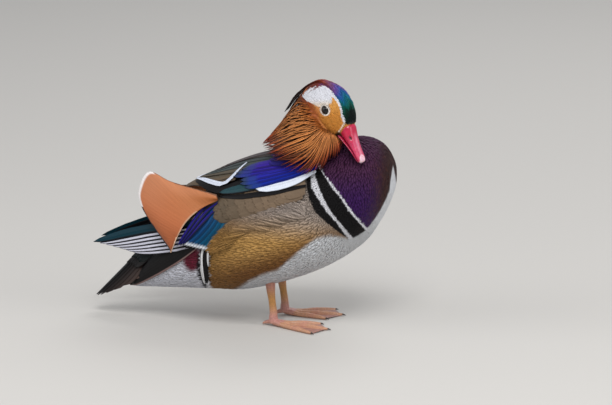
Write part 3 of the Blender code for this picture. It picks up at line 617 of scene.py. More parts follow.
TAIL_EDGE = ((110, 300), (130, 287), (165, 268), (192, 249))
BACK_EDGE = ((150, 238), (200, 214), (222, 205), (262, 196), (300, 186))
UNDERTAIL_PATCH, UNDERTAIL_SIZE = (192, 258), (9, 13)
# The white wedge up the front of the breast: its half width in millimetres at heights.
WEDGE = ((88, 46), (105, 30), (130, 21), (150, 12), (160, 4), (168, -4))
# Where colours pass over into each other in the picture, from left to right (X) or down (Y).
GREY_Y, TAWNY_X, RUFOUS_SHADE_DEPTH, PLUM_Y, MAROON_X = (244, 206), (250, 214), (-2, 26), (205, 165), (366, 384)
BLUE_Y, BLUE_X, BELLY_SHADE_Y, BELLY_X = (205, 235), (375, 345), (270, 300), (204, 374)
LINES_Y, STRIPES_Y, RUST_X = (246, 212), (160, 243), (356, 380)
# The flank's and the breast's borders lean by a share of the way from these places.
BORDER_LEAN, FLANK_X, BREAST_Y = 0.12, 260, 200
GOLD, RUFOUS_AND_SHADE, GREY, TAWNY = rgb(180, 138, 78), rgb(104, 64, 28), rgb(172, 158, 148), rgb(136, 98, 50)
MAROON, PURPLE, BROWN = rgb(44, 20, 20), rgb(54, 20, 80), rgb(74, 58, 46)
BREAST_PLUM, BREAST_BLUE, RUST = rgb(66, 30, 60), rgb(40, 26, 86), rgb(96, 58, 44)
BELLY, BELLY_SHADE = rgb(206, 208, 212), rgb(188, 190, 196)
UNDERTAIL, UNDERTAIL_RED, TAIL_BLACK = rgb(196, 197, 206), rgb(92, 20, 40), rgb(20, 17, 18)


def flank_colour(px, py):
    """The flank's grey, gold and rufous by the place in the picture, the rufous deepened by painted shade
    towards the bottom.
    """
    tint = blend(GOLD, GREY, step(py - BORDER_LEAN * (px - FLANK_X), *GREY_Y))
    # Lower flank: its own rufous, darkened with painted shade where the flank turns under.
    tint = blend(tint, RUFOUS_AND_SHADE, step(py - read_edge(px, RUFOUS_SHADE_EDGE), *RUFOUS_SHADE_DEPTH) * 0.9)
    return blend(tint, TAWNY, 0.5 * step(px, *TAWNY_X))


def breast_colour(px, py):
    """The breast's purple, with plum above, blue below and maroon towards the front."""
    tint = blend(PURPLE, BREAST_PLUM, step(py, *PLUM_Y))
    tint = blend(tint, MAROON, step(px + BORDER_LEAN * (py - BREAST_Y), *MAROON_X))
    return blend(tint, BREAST_BLUE, 0.6 * step(py, *BLUE_Y) * step(px, *BLUE_X))


def add_bars(tint, px, edges, shown):
    """Colours with black and white bars between the edges that follow each other, where they are shown."""
    for first, last, colour in zip(edges, edges[1:], (BLACK, WHITE, BLACK, WHITE)):
        tint = np.where(((px > first) & (px <= last) & shown)[..., None], colour, tint)
    return tint


def torso_colour(points):
    """The colour of the small feathers at points of the torso, with the strength of the fine dark lines."""
    px, py = seen(points)
    edges = [np.interp(py, STRIPE_Y, e) for e in STRIPE_EDGES]
    rear = [np.interp(py, REAR_Y, e) for e in REAR_EDGES]
    tint = np.where((px > edges[-1])[..., None], breast_colour(px, py), flank_colour(px, py))
    tint = add_bars(tint, px, edges, True)
    (x, y), (wide, high) = UNDERTAIL_PATCH, UNDERTAIL_SIZE
    patch = np.hypot((px - x) / wide, (py - y) / high)
    under = blend(UNDERTAIL, UNDERTAIL_RED, step(patch, 1.25, 0.8))
    tint = np.where((px < rear[0])[..., None], under, tint)
    tint = add_bars(tint, px, rear, py > REAR_Y[0] - 1)
    belly = blend(BELLY, BELLY_SHADE, step(py, *BELLY_SHADE_Y))
    below = step(py - read_edge(px, BELLY_EDGE), -2.5, 3.0)
    tint = blend(tint, belly, below * (px > BELLY_X[0]) * (px < BELLY_X[1]))
    wedge = read_edge(points[..., 2], WEDGE) - np.abs(points[..., 1])
    tint = blend(tint, belly, step(wedge, -2, 2) * (points[..., 0] > 70))
    tail = step(read_edge(px, TAIL_EDGE) - py, -1.5, 1.5) * (px < TAIL_EDGE[-1][0])
    tint = blend(tint, TAIL_BLACK, tail)
    top = (px < BACK_EDGE[-1][0]) & (py < read_edge(px, BACK_EDGE))
    tint = np.where(top[..., None], BROWN, tint)
    lines = step(py, *LINES_Y) * (px < edges[0]) * (px > rear[-1]) * ~top
    return np.concatenate([tint, lines[..., None]], -1)


CROWN_EDGE = [
    (298.5, 103.3), (301.9, 96.6), (306.7, 91.3), (312.4, 87.5), (317.2, 86.2), (323.9, 86.5),
    (329.6, 90.4), (334.4, 95.6), (338.3, 101.4), (341.1, 108.1), (343, 115.7), (344.5, 121),
]
WHITE_PATCH = CROWN_EDGE + [
    (342.8, 121), (341, 115.7), (339, 108.5), (336, 102.5), (332, 97.5), (331.5, 104), (328, 106),
    (321, 108.5), (316.2, 107.1), (310.5, 103.8), (306.7, 101.8), (302.8, 100.6),
]
# The cheek's hind edge, as heights in the picture and how far right it reaches at each.
CHEEK_EDGE = ((98, 104, 112, 120, 128, 136), (301, 309, 313, 316, 321, 331))
BILL_LINE, GAPE = ((343.6, 124.5), (338.2, 133)), (338, 138)
# The crown's colours from the crest forward, by millimetres in front of the eye.
CROWN = (
    (-36, rgb(40, 18, 14)), (-30, rgb(92, 34, 20)), (-22, rgb(122, 50, 34)), (-16, rgb(104, 62, 104)),
    (-9, rgb(104, 72, 150)), (-3, rgb(20, 74, 134)), (5, rgb(4, 104, 122)), (12, rgb(4, 84, 72)),
    (18, rgb(6, 46, 34)), (25, rgb(8, 20, 18)),
)
# Where the head's colours pass over into each other, in the picture and (MM) in front of the eye.
CHEEK_LIGHT_Y, CREAM_Y, CHEEK_RED_Y, CHEEK_RED_X = (118, 104), (100, 108), (98, 106), 329
CHEEK_TOP, CHEEK_DARK_Y, CHEEK_TIP_Y = 99, (112, 102), (106, 118)
WARM_MM, NAPE_MM, PATCH_END_MM, CROWN_END_MM = (6, -8), (-10, -20), (-14, -24), (-16, -30)
EYE_RING_MM, CROWN_RIM_MM = (6.2, 5.4), 1.5
CHEEK, CHEEK_WARM, CHEEK_LIGHT = rgb(204, 136, 58), rgb(200, 120, 66), rgb(232, 176, 96)
NAPE, CHEEK_RED, GAPE_DARK = rgb(158, 84, 40), rgb(150, 68, 30), rgb(30, 16, 12)
CREAM, EYE_RING, BILL_PALE = rgb(226, 196, 150), rgb(236, 232, 226), rgb(232, 214, 196)


def crown_width():
    """The half width of the crown's stripe along the head, read from its edge in the picture."""
    sides = 160
    grid = section_grid(HEAD, 8, sides)
    right_top = (np.arange(sides) > 42) & (np.arange(sides) < 76)
    grid = grid[:, right_top].reshape(-1, 3)
    px, py = seen(grid, HEAD_VIEW)
    spots = [grid[np.argmin((px - x) ** 2 + (py - y) ** 2)] for x, y in CROWN_EDGE]
    return sorted((spot[0], abs(spot[1])) for spot in spots)


CROWN_WIDTH = crown_width()


def head_colour(local):
    """The colour of the head at points of its own frame."""
    f, l, u = local[..., 0], np.abs(local[..., 1]), local[..., 2]
    px, py = seen(local, HEAD_VIEW)
    tint = blend(CHEEK, CHEEK_WARM, step(f, *WARM_MM))
    tint = blend(tint, CHEEK_LIGHT, 0.5 * step(py, *CHEEK_LIGHT_Y))
    tint = blend(tint, NAPE, step(f + 0.35 * u, *NAPE_MM))
    behind = np.interp(py, *CHEEK_EDGE) + 7 - px
    red = 0.72 * step(behind, 0, 7) * step(py, *CHEEK_RED_Y) * (px < CHEEK_RED_X)
    tint = blend(tint, CHEEK_RED, red)
    white = inside(px, py, WHITE_PATCH) & (u > -8 - 14 * step(f, *PATCH_END_MM))
    tint = np.where(white[..., None], blend(WHITE, CREAM, 0.6 * step(py, *CREAM_Y)), tint)
    ring = np.hypot(f - EYE[0], u - EYE[2])
    tint = blend(tint, EYE_RING, step(ring, *EYE_RING_MM) * (l > 10))
    width = read_edge(f, CROWN_WIDTH)
    top = u > 2 - 6 * step(f, *CROWN_END_MM)
    tint = np.where(((l < width + CROWN_RIM_MM) & top & (f > -4))[..., None], WHITE, tint)
    tint = np.where(((l < width) & top)[..., None], ramp(f + 1.1 * (width - l), CROWN), tint)
    gape = np.hypot(px - GAPE[0], (py - GAPE[1]) / 1.4)
    tint = blend(tint, GAPE_DARK, step(gape, 5.5, 2.5))
    (upper_x, upper_y), (lower_x, lower_y) = BILL_LINE
    off = np.abs(px - np.interp(py, (upper_y, lower_y), (upper_x, lower_x)))
    root_line = step(off, 1.1, 0.6) * (py > upper_y - 1) * (py < lower_y) * (f > 12)
    return blend(tint, BILL_PALE, root_line)


def ruff_at(angle, t, scale=1.0, lift=0.0):
    """Points of the ruff's sleeve at angles round it and shares of the way down, and the sleeve's middle."""
    cell, f = np.divmod((angle % 360) / 45, 1)
    row = catmull(*(RUFF[(cell.astype(int) + k) % 8] for k in (-1, 0, 1, 2)), f[..., None])
    weights = ((1 - t) * (1 - 2 * t), 4 * t * (1 - t), t * (2 * t - 1))
    spot = sum(w[..., None] * row[..., 3 * k : 3 * k + 3] for k, w in enumerate(weights))
    centre = sum(w[..., None] * RUFF[:, 3 * k : 3 * k + 3].mean(0) for k, w in enumerate(weights))
    away = spot - centre
    scale, lift = (np.broadcast_to(v, t.shape)[..., None] for v in (scale, lift))
    return centre + away * scale + lift * unit(away), centre


def core_scale(t):
    """How wide the neck under the hackles is, as a share of the ruff, at shares of the way down."""
    return 1 - (1 - RUFF_CORE) * np.minimum(1, np.maximum(0, t) / 0.4) ** 0.8


# Where the hackles root, lie halfway and end, in degrees round the ruff from its front.
HACKLE_ROOTS = (0, 30, 45, 60, 85, 100, 120, 150, 180)
HACKLE_MIDDLES = (0, 40, 65, 90, 122, 135, 148, 164, 180)
HACKLE_TIPS = (0, 50, 85, 118, 158, 168, 174, 178, 180)
RIGHT_MIDDLE, LEFT_MIDDLE = 90, 290
HACKLE_ORANGE, HACKLE_RED, HACKLE_SHADE = rgb(206, 108, 30), rgb(204, 66, 26), rgb(112, 46, 20)
# The hackles' near black edge colour is partly their own darker edge and partly painted shade in the gaps
# between them.
HACKLE_PALE, HACKLE_DARK = rgb(244, 166, 98), rgb(24, 7, 4)


def turned_from(angle, middle):
    """How many degrees an angle lies from another one, round the ruff."""
    return np.abs((angle - middle + 180) % 360 - 180)


def ruff_colour(angle, t):
    """Colours of a hackle's shaft and edge by its place round and down the ruff, the edge partly painted
    shade between hackles.
    """
    side = np.minimum(turned_from(angle, RIGHT_MIDDLE), turned_from(angle, LEFT_MIDDLE))
    body = blend(HACKLE_ORANGE, HACKLE_RED, step(t, 0.4, 0.9))
    body = blend(body, HACKLE_SHADE, 0.75 * step(side, 62, 88) * step(t, 0.9, 0.1))
    light = 0.55 * step(t, -0.1, 0.2) * step(t, 1.0, 0.5) * step(side, 100, 60) + 0.05
    return blend(body, HACKLE_PALE, light), blend(body, HACKLE_DARK, 0.98)


SKIN_VOXEL, SKIN_DEPTH, HEAD_DEPTH = 0.0016, 3.0, 0.8
SOCKET_INSIDE, SOCKET_FLOOR = 12, 15.8
# The neck's skin under the ruff is dark brown, painted shade for the gaps between the hackles.
NECK_LOWEST, NECK_FRONT, NECK_SKIN_SHADE = 178, 84, rgb(92, 38, 14)
HEAD_BALL, HEAD_BALL_LOW = (38, 23, 25), 4


def build_skin():
    """One skin under the coat: the torso, the head and the neck's core, melted together."""
    angle, t = np.meshgrid(np.arange(40) * 9.0, np.linspace(-0.12, 1.12, 16))
    head = through(HEAD_FRAME, section_grid(HEAD, 6, 48, -HEAD_DEPTH))
    grids = section_grid(TORSO, 6, 64, -SKIN_DEPTH), head, ruff_at(angle, t, core_scale(t))[0]
    made = make_mesh("skin", *join_grids(grids))
    mesh = melt(made, SKIN_VOXEL, 3)
    spots = get_points(mesh)
    local = through(HEAD_FRAME.inverted(), spots)
    aside = np.abs(local[:, 1])
    socket = (np.hypot(local[:, 0] - EYE[0], local[:, 2] - EYE[2]) < EYE_RADIUS) & (aside > SOCKET_INSIDE)
    local[socket, 1] = np.sign(local[socket, 1]) * np.minimum(aside[socket], SOCKET_FLOOR)
    spots = np.where(socket[:, None], through(HEAD_FRAME, local), spots)
    set_points(mesh, spots)
    tint = torso_colour(spots)
    on_head = np.linalg.norm((local + (0, 0, HEAD_BALL_LOW)) / HEAD_BALL, axis=-1) < 1.0
    ruff = (spots[:, 2] > NECK_LOWEST) & (spots[:, 0] < NECK_FRONT) & ~on_head
    # Painted shade of the gaps between hackles, on the neck under the ruff.
    tint[ruff] = (*NECK_SKIN_SHADE, 0)
    tint[on_head] = with_lines(head_colour(local[on_head]))
    paint(mesh, tint)
    shade_smooth(mesh)
    return settle(made, DOWN, "torso", "torso", "head", "neck")


# Small feathers of the torso in millimetres, and their width, ridge and painted shade from root to tip,
# darkest at the root.
BODY_LENGTH, BREAST_LENGTH, RUMP_LENGTH, RUMP_X = 15, 8.5, 11, -125
BODY_HALF, BREAST_HALF, COAT_DEPTH = 2.1, 1.9, 2.4
BODY_SHAPE = np.array((0.4, 0.85, 1, 1, 0.72, 0.14))
BODY_RIDGE = np.array((0.5, 0.9, 1, 0.9, 0.7, 0.3))
BODY_ROOT_SHADE = np.array((0.92, 0.96, 0.98, 1.0, 1.01, 1.02))
RUST_SHARE = np.array((0, 0, 0, 0.5, 1, 1))
MIDDLE_FRONT, NECK_ROOT, BACKWARD = 95, (75, -4, 215), (-1, 0, -0.16)


def torso_middle(p):
    """The torso's middle line beside points, short of the front so that the breast faces forward."""
    low, high = (np.interp(p[:, 0], TORSO_ROWS[:, 0], TORSO_ROWS[:, k]) for k in (1, 2))
    return np.stack([np.minimum(p[:, 0], MIDDLE_FRONT), np.zeros_like(low), (low + high) / 2], -1)


def torso_flow(p):
    """Which way the small feathers point: back along the body and down from the neck over the breast."""
    w = step(p[:, 0], 20, 72)[:, None]
    return w * unit(p - NECK_ROOT) + (1 - w) * np.array(BACKWARD)


def outside_wing(p):
    return ~inside(*seen(p), WING_PATCH)


def on_stripes(p):
    px, py = seen(p)
    first, last = (np.interp(py, STRIPE_Y, STRIPE_EDGES[k]) for k in (0, -1))
    top, low = STRIPES_Y
    return (px > first - 2) & (px < last + 2) & (py > top) & (py < low) & (p[:, 0] > 20)


def torso_coat(label, gap, tries, keep, size, top, ridge):
    """Small feathers of the torso, root under tip, in one piece for each side."""
    grid = section_grid(TORSO, 8, 96, -COAT_DEPTH)
    points, faces = grid.reshape(-1, 3), grid_faces(*grid.shape[:2])
    roots = scatter(points, faces, gap, tries, keep)
    n, rows = len(roots), len(BODY_SHAPE)
    px, py = seen(roots)
    on_breast = step(roots[:, 0], 30, 70)
    length = BODY_LENGTH + (BREAST_LENGTH - BODY_LENGTH) * on_breast
    length = size * length * CHANCE.uniform(*VARIED, n)
    length = np.where(roots[:, 0] < RUMP_X, RUMP_LENGTH, length)
    line, normal = comb(guide_tree(points, faces), roots, length, rows, torso_flow, torso_middle)
    lift = (-0.5 + (top + 0.5) * np.linspace(0, 1, rows) ** 0.8)[None] * CHANCE.uniform(0.85, 1.0, (n, 1))
    lift = lift * (1 - 0.9 * step(roots[:, :1], 96, 110))
    half = (BODY_HALF + (BREAST_HALF - BODY_HALF) * on_breast)[:, None] * size**0.7 * BODY_SHAPE
    half = half * CHANCE.uniform(*VARIED, (n, 1))
    spots, crown = line + normal * lift[..., None], np.tile(ridge * BODY_RIDGE, (n, 1))
    rings, vane = barb_rings(spots, normal, half, crown)
    full = torso_colour(rings + CHANCE.normal(0, 0.3 * size, (n, 1, 1, 3)))
    shade = 1 + (1 - 0.5 * on_breast)[:, None] * CHANCE.uniform(-0.06, 0.06, (n, 1))
    # Painted shade: darker towards the root, which lies under the tips of other feathers.
    full[..., :3] *= (shade * BODY_ROOT_SHADE)[:, :, None, None]
    front = step(px + BORDER_LEAN * (py - BREAST_Y), *RUST_X) * (roots[:, 0] > 60)
    front = front * (CHANCE.random(n) > 0.66)
    dark = (full[..., :3].sum(-1) < 0.35) * front[:, None, None] * RUST_SHARE[None, :, None]
    full[..., :3] = blend(full[..., :3], RUST, 0.3 * dark)
    bake = round_chart(roots, roots[:, 2] - torso_middle(roots)[:, 2], -160, 284)
    for word, chosen in (("right", roots[:, 1] < 0), ("left", roots[:, 1] >= 0)):
        coat = Coat(label + "_" + word, FEATHER, "torso")
        coat.add(rings[chosen], full[chosen], vane[chosen], bake[chosen])
        coat.make()


# Short hackles behind the cheek and the tiny feathers of the head, in millimetres from root to tip.
CHEEK_SHAPE, CHEEK_LENGTH, CHEEK_GAP = np.array((0.4, 0.9, 1, 0.9, 0.6, 0.08)), (11, 16), 1.6
HEAD_SHAPE, HEAD_HALF, HEAD_GAP = np.array((0.5, 1, 0.9, 0.15)), 0.78, 0.92
# The head's feathers get painted shade, darker towards each root under the tips before it.
HEAD_RIDGE, HEAD_ROOT_SHADE = np.array((0.1, 0.18, 0.16, 0.06)), np.array((0.86, 0.96, 1.0, 1.04))
CHEEK_ROOT, CHEEK_DARK, CHEEK_TIP = rgb(196, 112, 40), rgb(134, 62, 26), rgb(234, 170, 110)


def head_middle(p):
    """The head's middle line beside points of its own frame."""
    return p * (1, 0, 0) + (0, 0, HEAD_MIDDLE)


def head_chart(roots):
    return round_chart(roots, roots[:, 2] - HEAD_MIDDLE, -37, 66)


def on_head_frame(spots, normal):
    """Points of the head's own frame and directions at them, in the bird's frame."""
    world = through(HEAD_FRAME, spots)
    return world, through(HEAD_FRAME, spots + normal) - world


def cheek_hackles(points, faces):
    """The first short hackles, which grow from the back of the cheek and overlap the ruff's roots."""

    def flow(p):
        return unit(p * (1, 0.2, 1) - (16, 0, 4)) + (-0.2, 0, -0.1)

    def keep(p):
        px, py = seen(p, HEAD_VIEW)
        behind = (px < np.interp(py, *CHEEK_EDGE)) & (py > CHEEK_TOP)
        return behind & (p[:, 2] < 4) & ~inside(px, py, WHITE_PATCH) & (p[:, 0] < 12)

    roots = scatter(points, faces, CHEEK_GAP, 26000, keep)
    n, rows = len(roots), len(CHEEK_SHAPE)
    length = CHANCE.uniform(*CHEEK_LENGTH, n)
    line, normal = comb(guide_tree(points, faces), roots, length, rows, flow, head_middle)
    lift = (-0.1 + 2.9 * np.linspace(0, 1, rows))[None] * CHANCE.uniform(0.7, 1, (n, 1))
    world, turned = on_head_frame(line + normal * lift[..., None], normal)
    half = CHEEK_SHAPE * CHANCE.uniform(*VARIED, (n, 1))
    rings, vane = barb_rings(world, turned, half, 0.55 * half)
    _, py = seen(line, HEAD_VIEW)
    body = blend(CHEEK_ROOT, CHEEK_DARK, step(py, *CHEEK_DARK_Y))
    pale = blend(body, CHEEK_TIP, 0.35 * step(py, *CHEEK_TIP_Y))
    # Near black edges: partly the hackles' own darker edge, partly painted shade in the gaps between them.
    full = np.stack([body * 0.2, pale, body * 0.2], 2) * CHANCE.uniform(0.85, 1.1, (n, 1, 1, 1))
    coat = Coat("cheek_hackles", HACKLE, "head")
    coat.add(rings, full, vane, head_chart(roots))
    coat.make()


def head_coat():
    """The head's tiny close feathers, which leave the eyes and the bill free, and the cheek's hackles."""
    grid = section_grid(HEAD, 8, 72, -0.7)
    points, faces = grid.reshape(-1, 3), grid_faces(*grid.shape[:2])
    cheek_hackles(points, faces)

    def flow(p):
        down = step(p[:, 2], 4, -14)[:, None] * (0, 0, -0.25)
        return unit(p * (1, 0.35, 0.4) - (34, 0, -3)) + (down - (0.4, 0, 0))

    def from_eye(p):
        return np.hypot(p[:, 0] - EYE[0], p[:, 2] - EYE[2])

    def keep(p):
        return ~((from_eye(p) < EYE_RADIUS) & (np.abs(p[:, 1]) > 10)) & (p[:, 0] <= 24.2)

    roots = scatter(points, faces, HEAD_GAP, 40000, keep)
    n, rows = len(roots), len(HEAD_SHAPE)
    ring = from_eye(roots)
    length = (2.6 + 2.8 * step(roots[:, 0], 10, -20)) * CHANCE.uniform(0.85, 1.2, n)
    clear = np.minimum(length, np.maximum(0.8, ring - 4.6))
    length = np.where((ring < 8.5) & (roots[:, 0] > EYE[0]), clear, length)
    line, normal = comb(guide_tree(points, faces), roots, length, rows, flow, head_middle)
    spots = line + normal * (-0.15 + 0.75 * np.linspace(0, 1, rows))[None, :, None]
    half = HEAD_HALF * HEAD_SHAPE * CHANCE.uniform(*VARIED, (n, 1))
    rings, vane = barb_rings(*on_head_frame(spots, normal), half, np.tile(HEAD_RIDGE, (n, 1)))
    tint = np.repeat(head_colour(spots)[:, :, None], 3, 2)
    # Painted shade towards the roots.
    full = tint * CHANCE.uniform(0.92, 1.06, (n, 1, 1, 1)) * HEAD_ROOT_SHADE[None, :, None, None]
    coat = Coat("coat_head", FEATHER, "head")
    coat.add(rings, full, vane, head_chart(roots))
    coat.make()


# Strands of the crest: how many, between which roots, how long, how far aside, the lift of root and tip,
# the half width and the rows of points.
CREST_LAYERS = (
    (900, (-1, 48), (7, 10), 8.6, (-2.2, 0.35), 0.9, 5),
    (260, (30, 62), (30, 48), 6.4, (-1.6, 1.4), 1.0, 9),
    (170, (26, 60), (46, 66), 5.2, (-1.4, 0.8), 1.0, 12),
    (320, (42, 64), (24, 50), 5.4, (-9.0, -2.2), 1.2, 9),
)
CREST_ENDS, CREST_ROOF = (104, 112), 0.03
CREST_WIDTH = ((-2, 0.55), (6, 0.8), (20, 0.94), (30, 0.7), (45, 0.5), (70, 0.62))
# The crest's colours, by millimetres back along it.
CREST = (
    (0, rgb(6, 40, 32)), (7, rgb(4, 88, 76)), (14, rgb(6, 100, 124)), (22, rgb(26, 76, 146)),
    (30, rgb(106, 72, 150)), (38, rgb(112, 64, 92)), (46, rgb(132, 52, 32)), (56, rgb(104, 36, 20)),
    (72, rgb(52, 22, 18)), (100, rgb(36, 18, 16)), (112, rgb(20, 18, 18)),
)


def crest_place(back, across, lift):
    """The crest's surface: distance back along its line and distance across, in the bird's frame."""
    line = smooth_rows(CREST_LINE, 8)
    lengths = line_lengths(line)
    along = unit(read_line(back + 2, lengths, line) - read_line(back - 2, lengths, line))
    out = np.stack([along[..., 1], -along[..., 0]], -1)
    spot = read_line(back, lengths, line) + out * (lift - CREST_ROOF * across * across)[..., None]
    return through(HEAD_FRAME, np.stack([spot[..., 0], across, spot[..., 1]], -1))


def crest_coat():
    """The crown's glossy stripe of small feathers and the long strands of the crest."""
    coat = Coat("crest_feathers", GLOSSY, "crest", "crest")
    for count, roots, lengths, spread, (low, high), half, rows in CREST_LAYERS:
        root = CHANCE.uniform(*roots, count)
        tip = np.minimum(root + CHANCE.uniform(*lengths, count), CHANCE.uniform(*CREST_ENDS, count))
        aside = CHANCE.uniform(-1, 1, count) * spread * read_edge(root, CREST_WIDTH)
        t = np.linspace(0, 1, rows)
        back = root[:, None] + (tip - root)[:, None] * t
        across = aside[:, None] * (1 - (0.45 * np.clip((back - 50) / 60, 0, 1)))
        lift = low + (high - low) * np.minimum(1, t * 1.6)[None] ** 0.8 * CHANCE.uniform(0.6, 1, (count, 1))
        line = crest_place(back, across, lift)
        above = crest_place(back, across, lift + 1)
        width = half * np.minimum(1, 0.5 + 2 * t) * np.maximum(0.08, 1 - np.clip((t - 0.4) / 0.6, 0, 1) ** 2)
        width = width[None] * CHANCE.uniform(0.8, 1.2, (count, 1))
        rings, vane = barb_rings(line, above - line, width, 0.35 * width + 0.05)
        tint = ramp(back + 1.2 * np.abs(across) - 4 + CHANCE.uniform(-2, 2, (count, 1)), CREST)
        tint = tint * CHANCE.uniform(0.8, 1.2, (count, 1, 1))
        bake = np.stack([0.5 + aside / 40, root / 80 + 0.1], -1)
        coat.add(rings, np.repeat(tint[:, :, None], 3, 2), vane, bake)
    coat.make()


# Layers of the ruff from the lowest: how many hackles, the shares of the way down where they root and end,
# the lift of their tips, half width, how unevenly they stand and how light they are.
# The lowest layer is made dark as painted shade under the layers above it.
RUFF_LAYERS = (
    (230, (0.15, 0.45), (0.82, 1.0), 0.1, 1.9, 0.4, 0.22),
    (104, (-0.05, 0.0), (0.9, 1.0), 1.3, 0.92, 0.1, 1),
    (84, (-0.1, -0.05), (0.62, 0.8), 2.3, 0.8, 0.1, 1),
    (70, (-0.16, -0.1), (0.36, 0.5), 3.1, 0.7, 0.1, 1),
    (60, (-0.2, -0.16), (0.12, 0.26), 3.6, 0.6, 0.1, 1),
)


def ruff_coat():
    """The long narrow hackles of the ruff, in layers down its sleeve."""
    coat = Coat("ruff_hackles", HACKLE, "neck")
    u = np.linspace(0, 1, 11)
    rise = np.minimum(1, u / 0.4) ** 0.7
    shape = np.where(u < 0.3, 0.55 + 1.5 * u, np.maximum(0.06, 1 - np.clip((u - 0.3) / 0.7, 0, 1) ** 1.8))
    for count, starts, ends, lift, half, jitter, light in RUFF_LAYERS:
        angle = (np.arange(count) + CHANCE.uniform(-jitter, jitter, count)) * 360 / count
        start, end = CHANCE.uniform(*starts, count), CHANCE.uniform(*ends, count)
        t = start[:, None] + (end - start)[:, None] * u
        mirror = np.where(angle > 180, 360 - angle, angle)
        root, tip = (np.interp(mirror, HACKLE_MIDDLES, row) for row in (HACKLE_ROOTS, HACKLE_TIPS))
        turn = root[:, None] + (tip - root + CHANCE.uniform(-3, 3, count))[:, None] * u
        turn = np.where(angle[:, None] > 180, 360 - turn, turn)
        scale = core_scale(t) * 0.95 * (1 - rise) + rise
        line, centre = ruff_at(turn, t, scale, (lift + CHANCE.uniform(-0.5, 0.3, (count, 1))) * rise)
        width = half * shape[None] * CHANCE.uniform(0.8, 1.2, (count, 1))
        rings, vane = barb_rings(line, line - centre, width, 0.5 * width + 0.1)
        pale, dark = ruff_colour(turn, t)
        # Edges partly painted shade between hackles, and the lowest layer darkened as painted shade under
        # the others.
        full = np.stack([dark, pale, dark], 2) * CHANCE.uniform(0.85, 1.12, (count, 1, 1, 1)) * light
        coat.add(rings, full, vane, np.stack([angle / 360, 0.1 + 0.8 * np.clip(start, 0, 1)], -1))
    coat.make()


OLIVE, TEAL, BLUE = rgb(112, 94, 76), rgb(0, 96, 128), rgb(8, 36, 150)
VIOLET, BRONZE, GREEN = rgb(52, 32, 140), rgb(82, 74, 62), rgb(36, 66, 72)
PALE_BLUE, OFF_WHITE, SOOT = rgb(206, 212, 226), rgb(214, 220, 232), rgb(20, 24, 30)


def banded(t, v, bands, tips=()):
    """Colours of a vane by bands across it, each (edge, colour), then by bands along it."""
    tint = np.broadcast_to(bands[0][1], t.shape + (3,)).copy()
    for shares, edges in ((v, bands[1:]), (t, tips)):
        for edge, colour in edges:
            tint = np.where((shares >= edge)[..., None], colour, tint)
    return tint


def lay_all(coat, place, jobs, cell, columns=9, rows=13, shaft=0.85, thick=0.3):
    """Lays each listed vane, which is a path, breadth, lifts, tilt, bands and sometimes tips."""
    for path, breadth, lifts, tilt, bands, *tips in jobs:
        ring, t, v, vane = lay_vane(place, path, breadth, lifts, tilt, rows, columns, thick)
        # Painted shade: each vane is darker towards its root, which lies under the feathers over it.
        tint = banded(t, v, bands, *tips) * CHANCE.uniform(0.93, 1.06) * (0.92 + 0.1 * t[..., None])
        tint = tint * np.where(np.abs(v) < 0.06, shaft, 1.0)[..., None]
        x, y = np.mean(path, axis=0)
        bake = np.array([[cell + 0.4 * (x + 200) / 260, (y - 10) / 150]])
        coat.add(ring[None], tint[None], vane[None], bake)


def between(first, last, count):
    """Paths spaced evenly from the first to the last."""
    first, last = np.array(first, float), np.array(last, float)
    return [first + (last - first) * s for s in np.linspace(0, 1, count)]


# Shoulder feathers from the ridge down, as paths in the picture.
# A group has its first path, its last path and how many there are.
RIDGE_GROUP = ((236, 178), (212, 183), (185, 186)), ((240, 170), (214, 175), (186, 182)), 3
BRONZE_PATH = ((266, 165), (232, 172), (197, 175))
HOOK_SHADOW = ((250, 177), (236, 184), (222, 189.5), (209, 186.5), (196, 180.5))
UPPER_GROUP = ((274, 161), (238, 169), (199, 174.5)), ((290, 148), (254, 151), (222, 158)), 6
WHITE_HOOK = ((247, 163), (239, 170), (231, 179), (222, 184.5), (209, 181.5), (195, 177.5))
BLACK_PATH = ((306, 186), (262, 194), (240, 197), (219, 197))
GREEN_PATH = ((282, 178), (250, 187), (220, 193))
SPEAR_PATH = ((316, 171), (290, 182.5), (257, 189.5))
BLUE_GROUP = ((318, 167), (284, 176), (240, 188)), ((304, 158), (272, 164), (240, 171)), 6
MANTLE_GROUP = ((318, 162), (296, 162), (270, 165)), ((322, 148), (300, 147), (272, 149)), 5
RIDGE, RIDGE_EDGE, UPPER_VIOLET = rgb(92, 78, 62), rgb(50, 42, 36), rgb(66, 56, 84)
SLATE, MANTLE, MANTLE_BROWN = rgb(40, 58, 70), rgb(40, 34, 110), rgb(74, 60, 62)


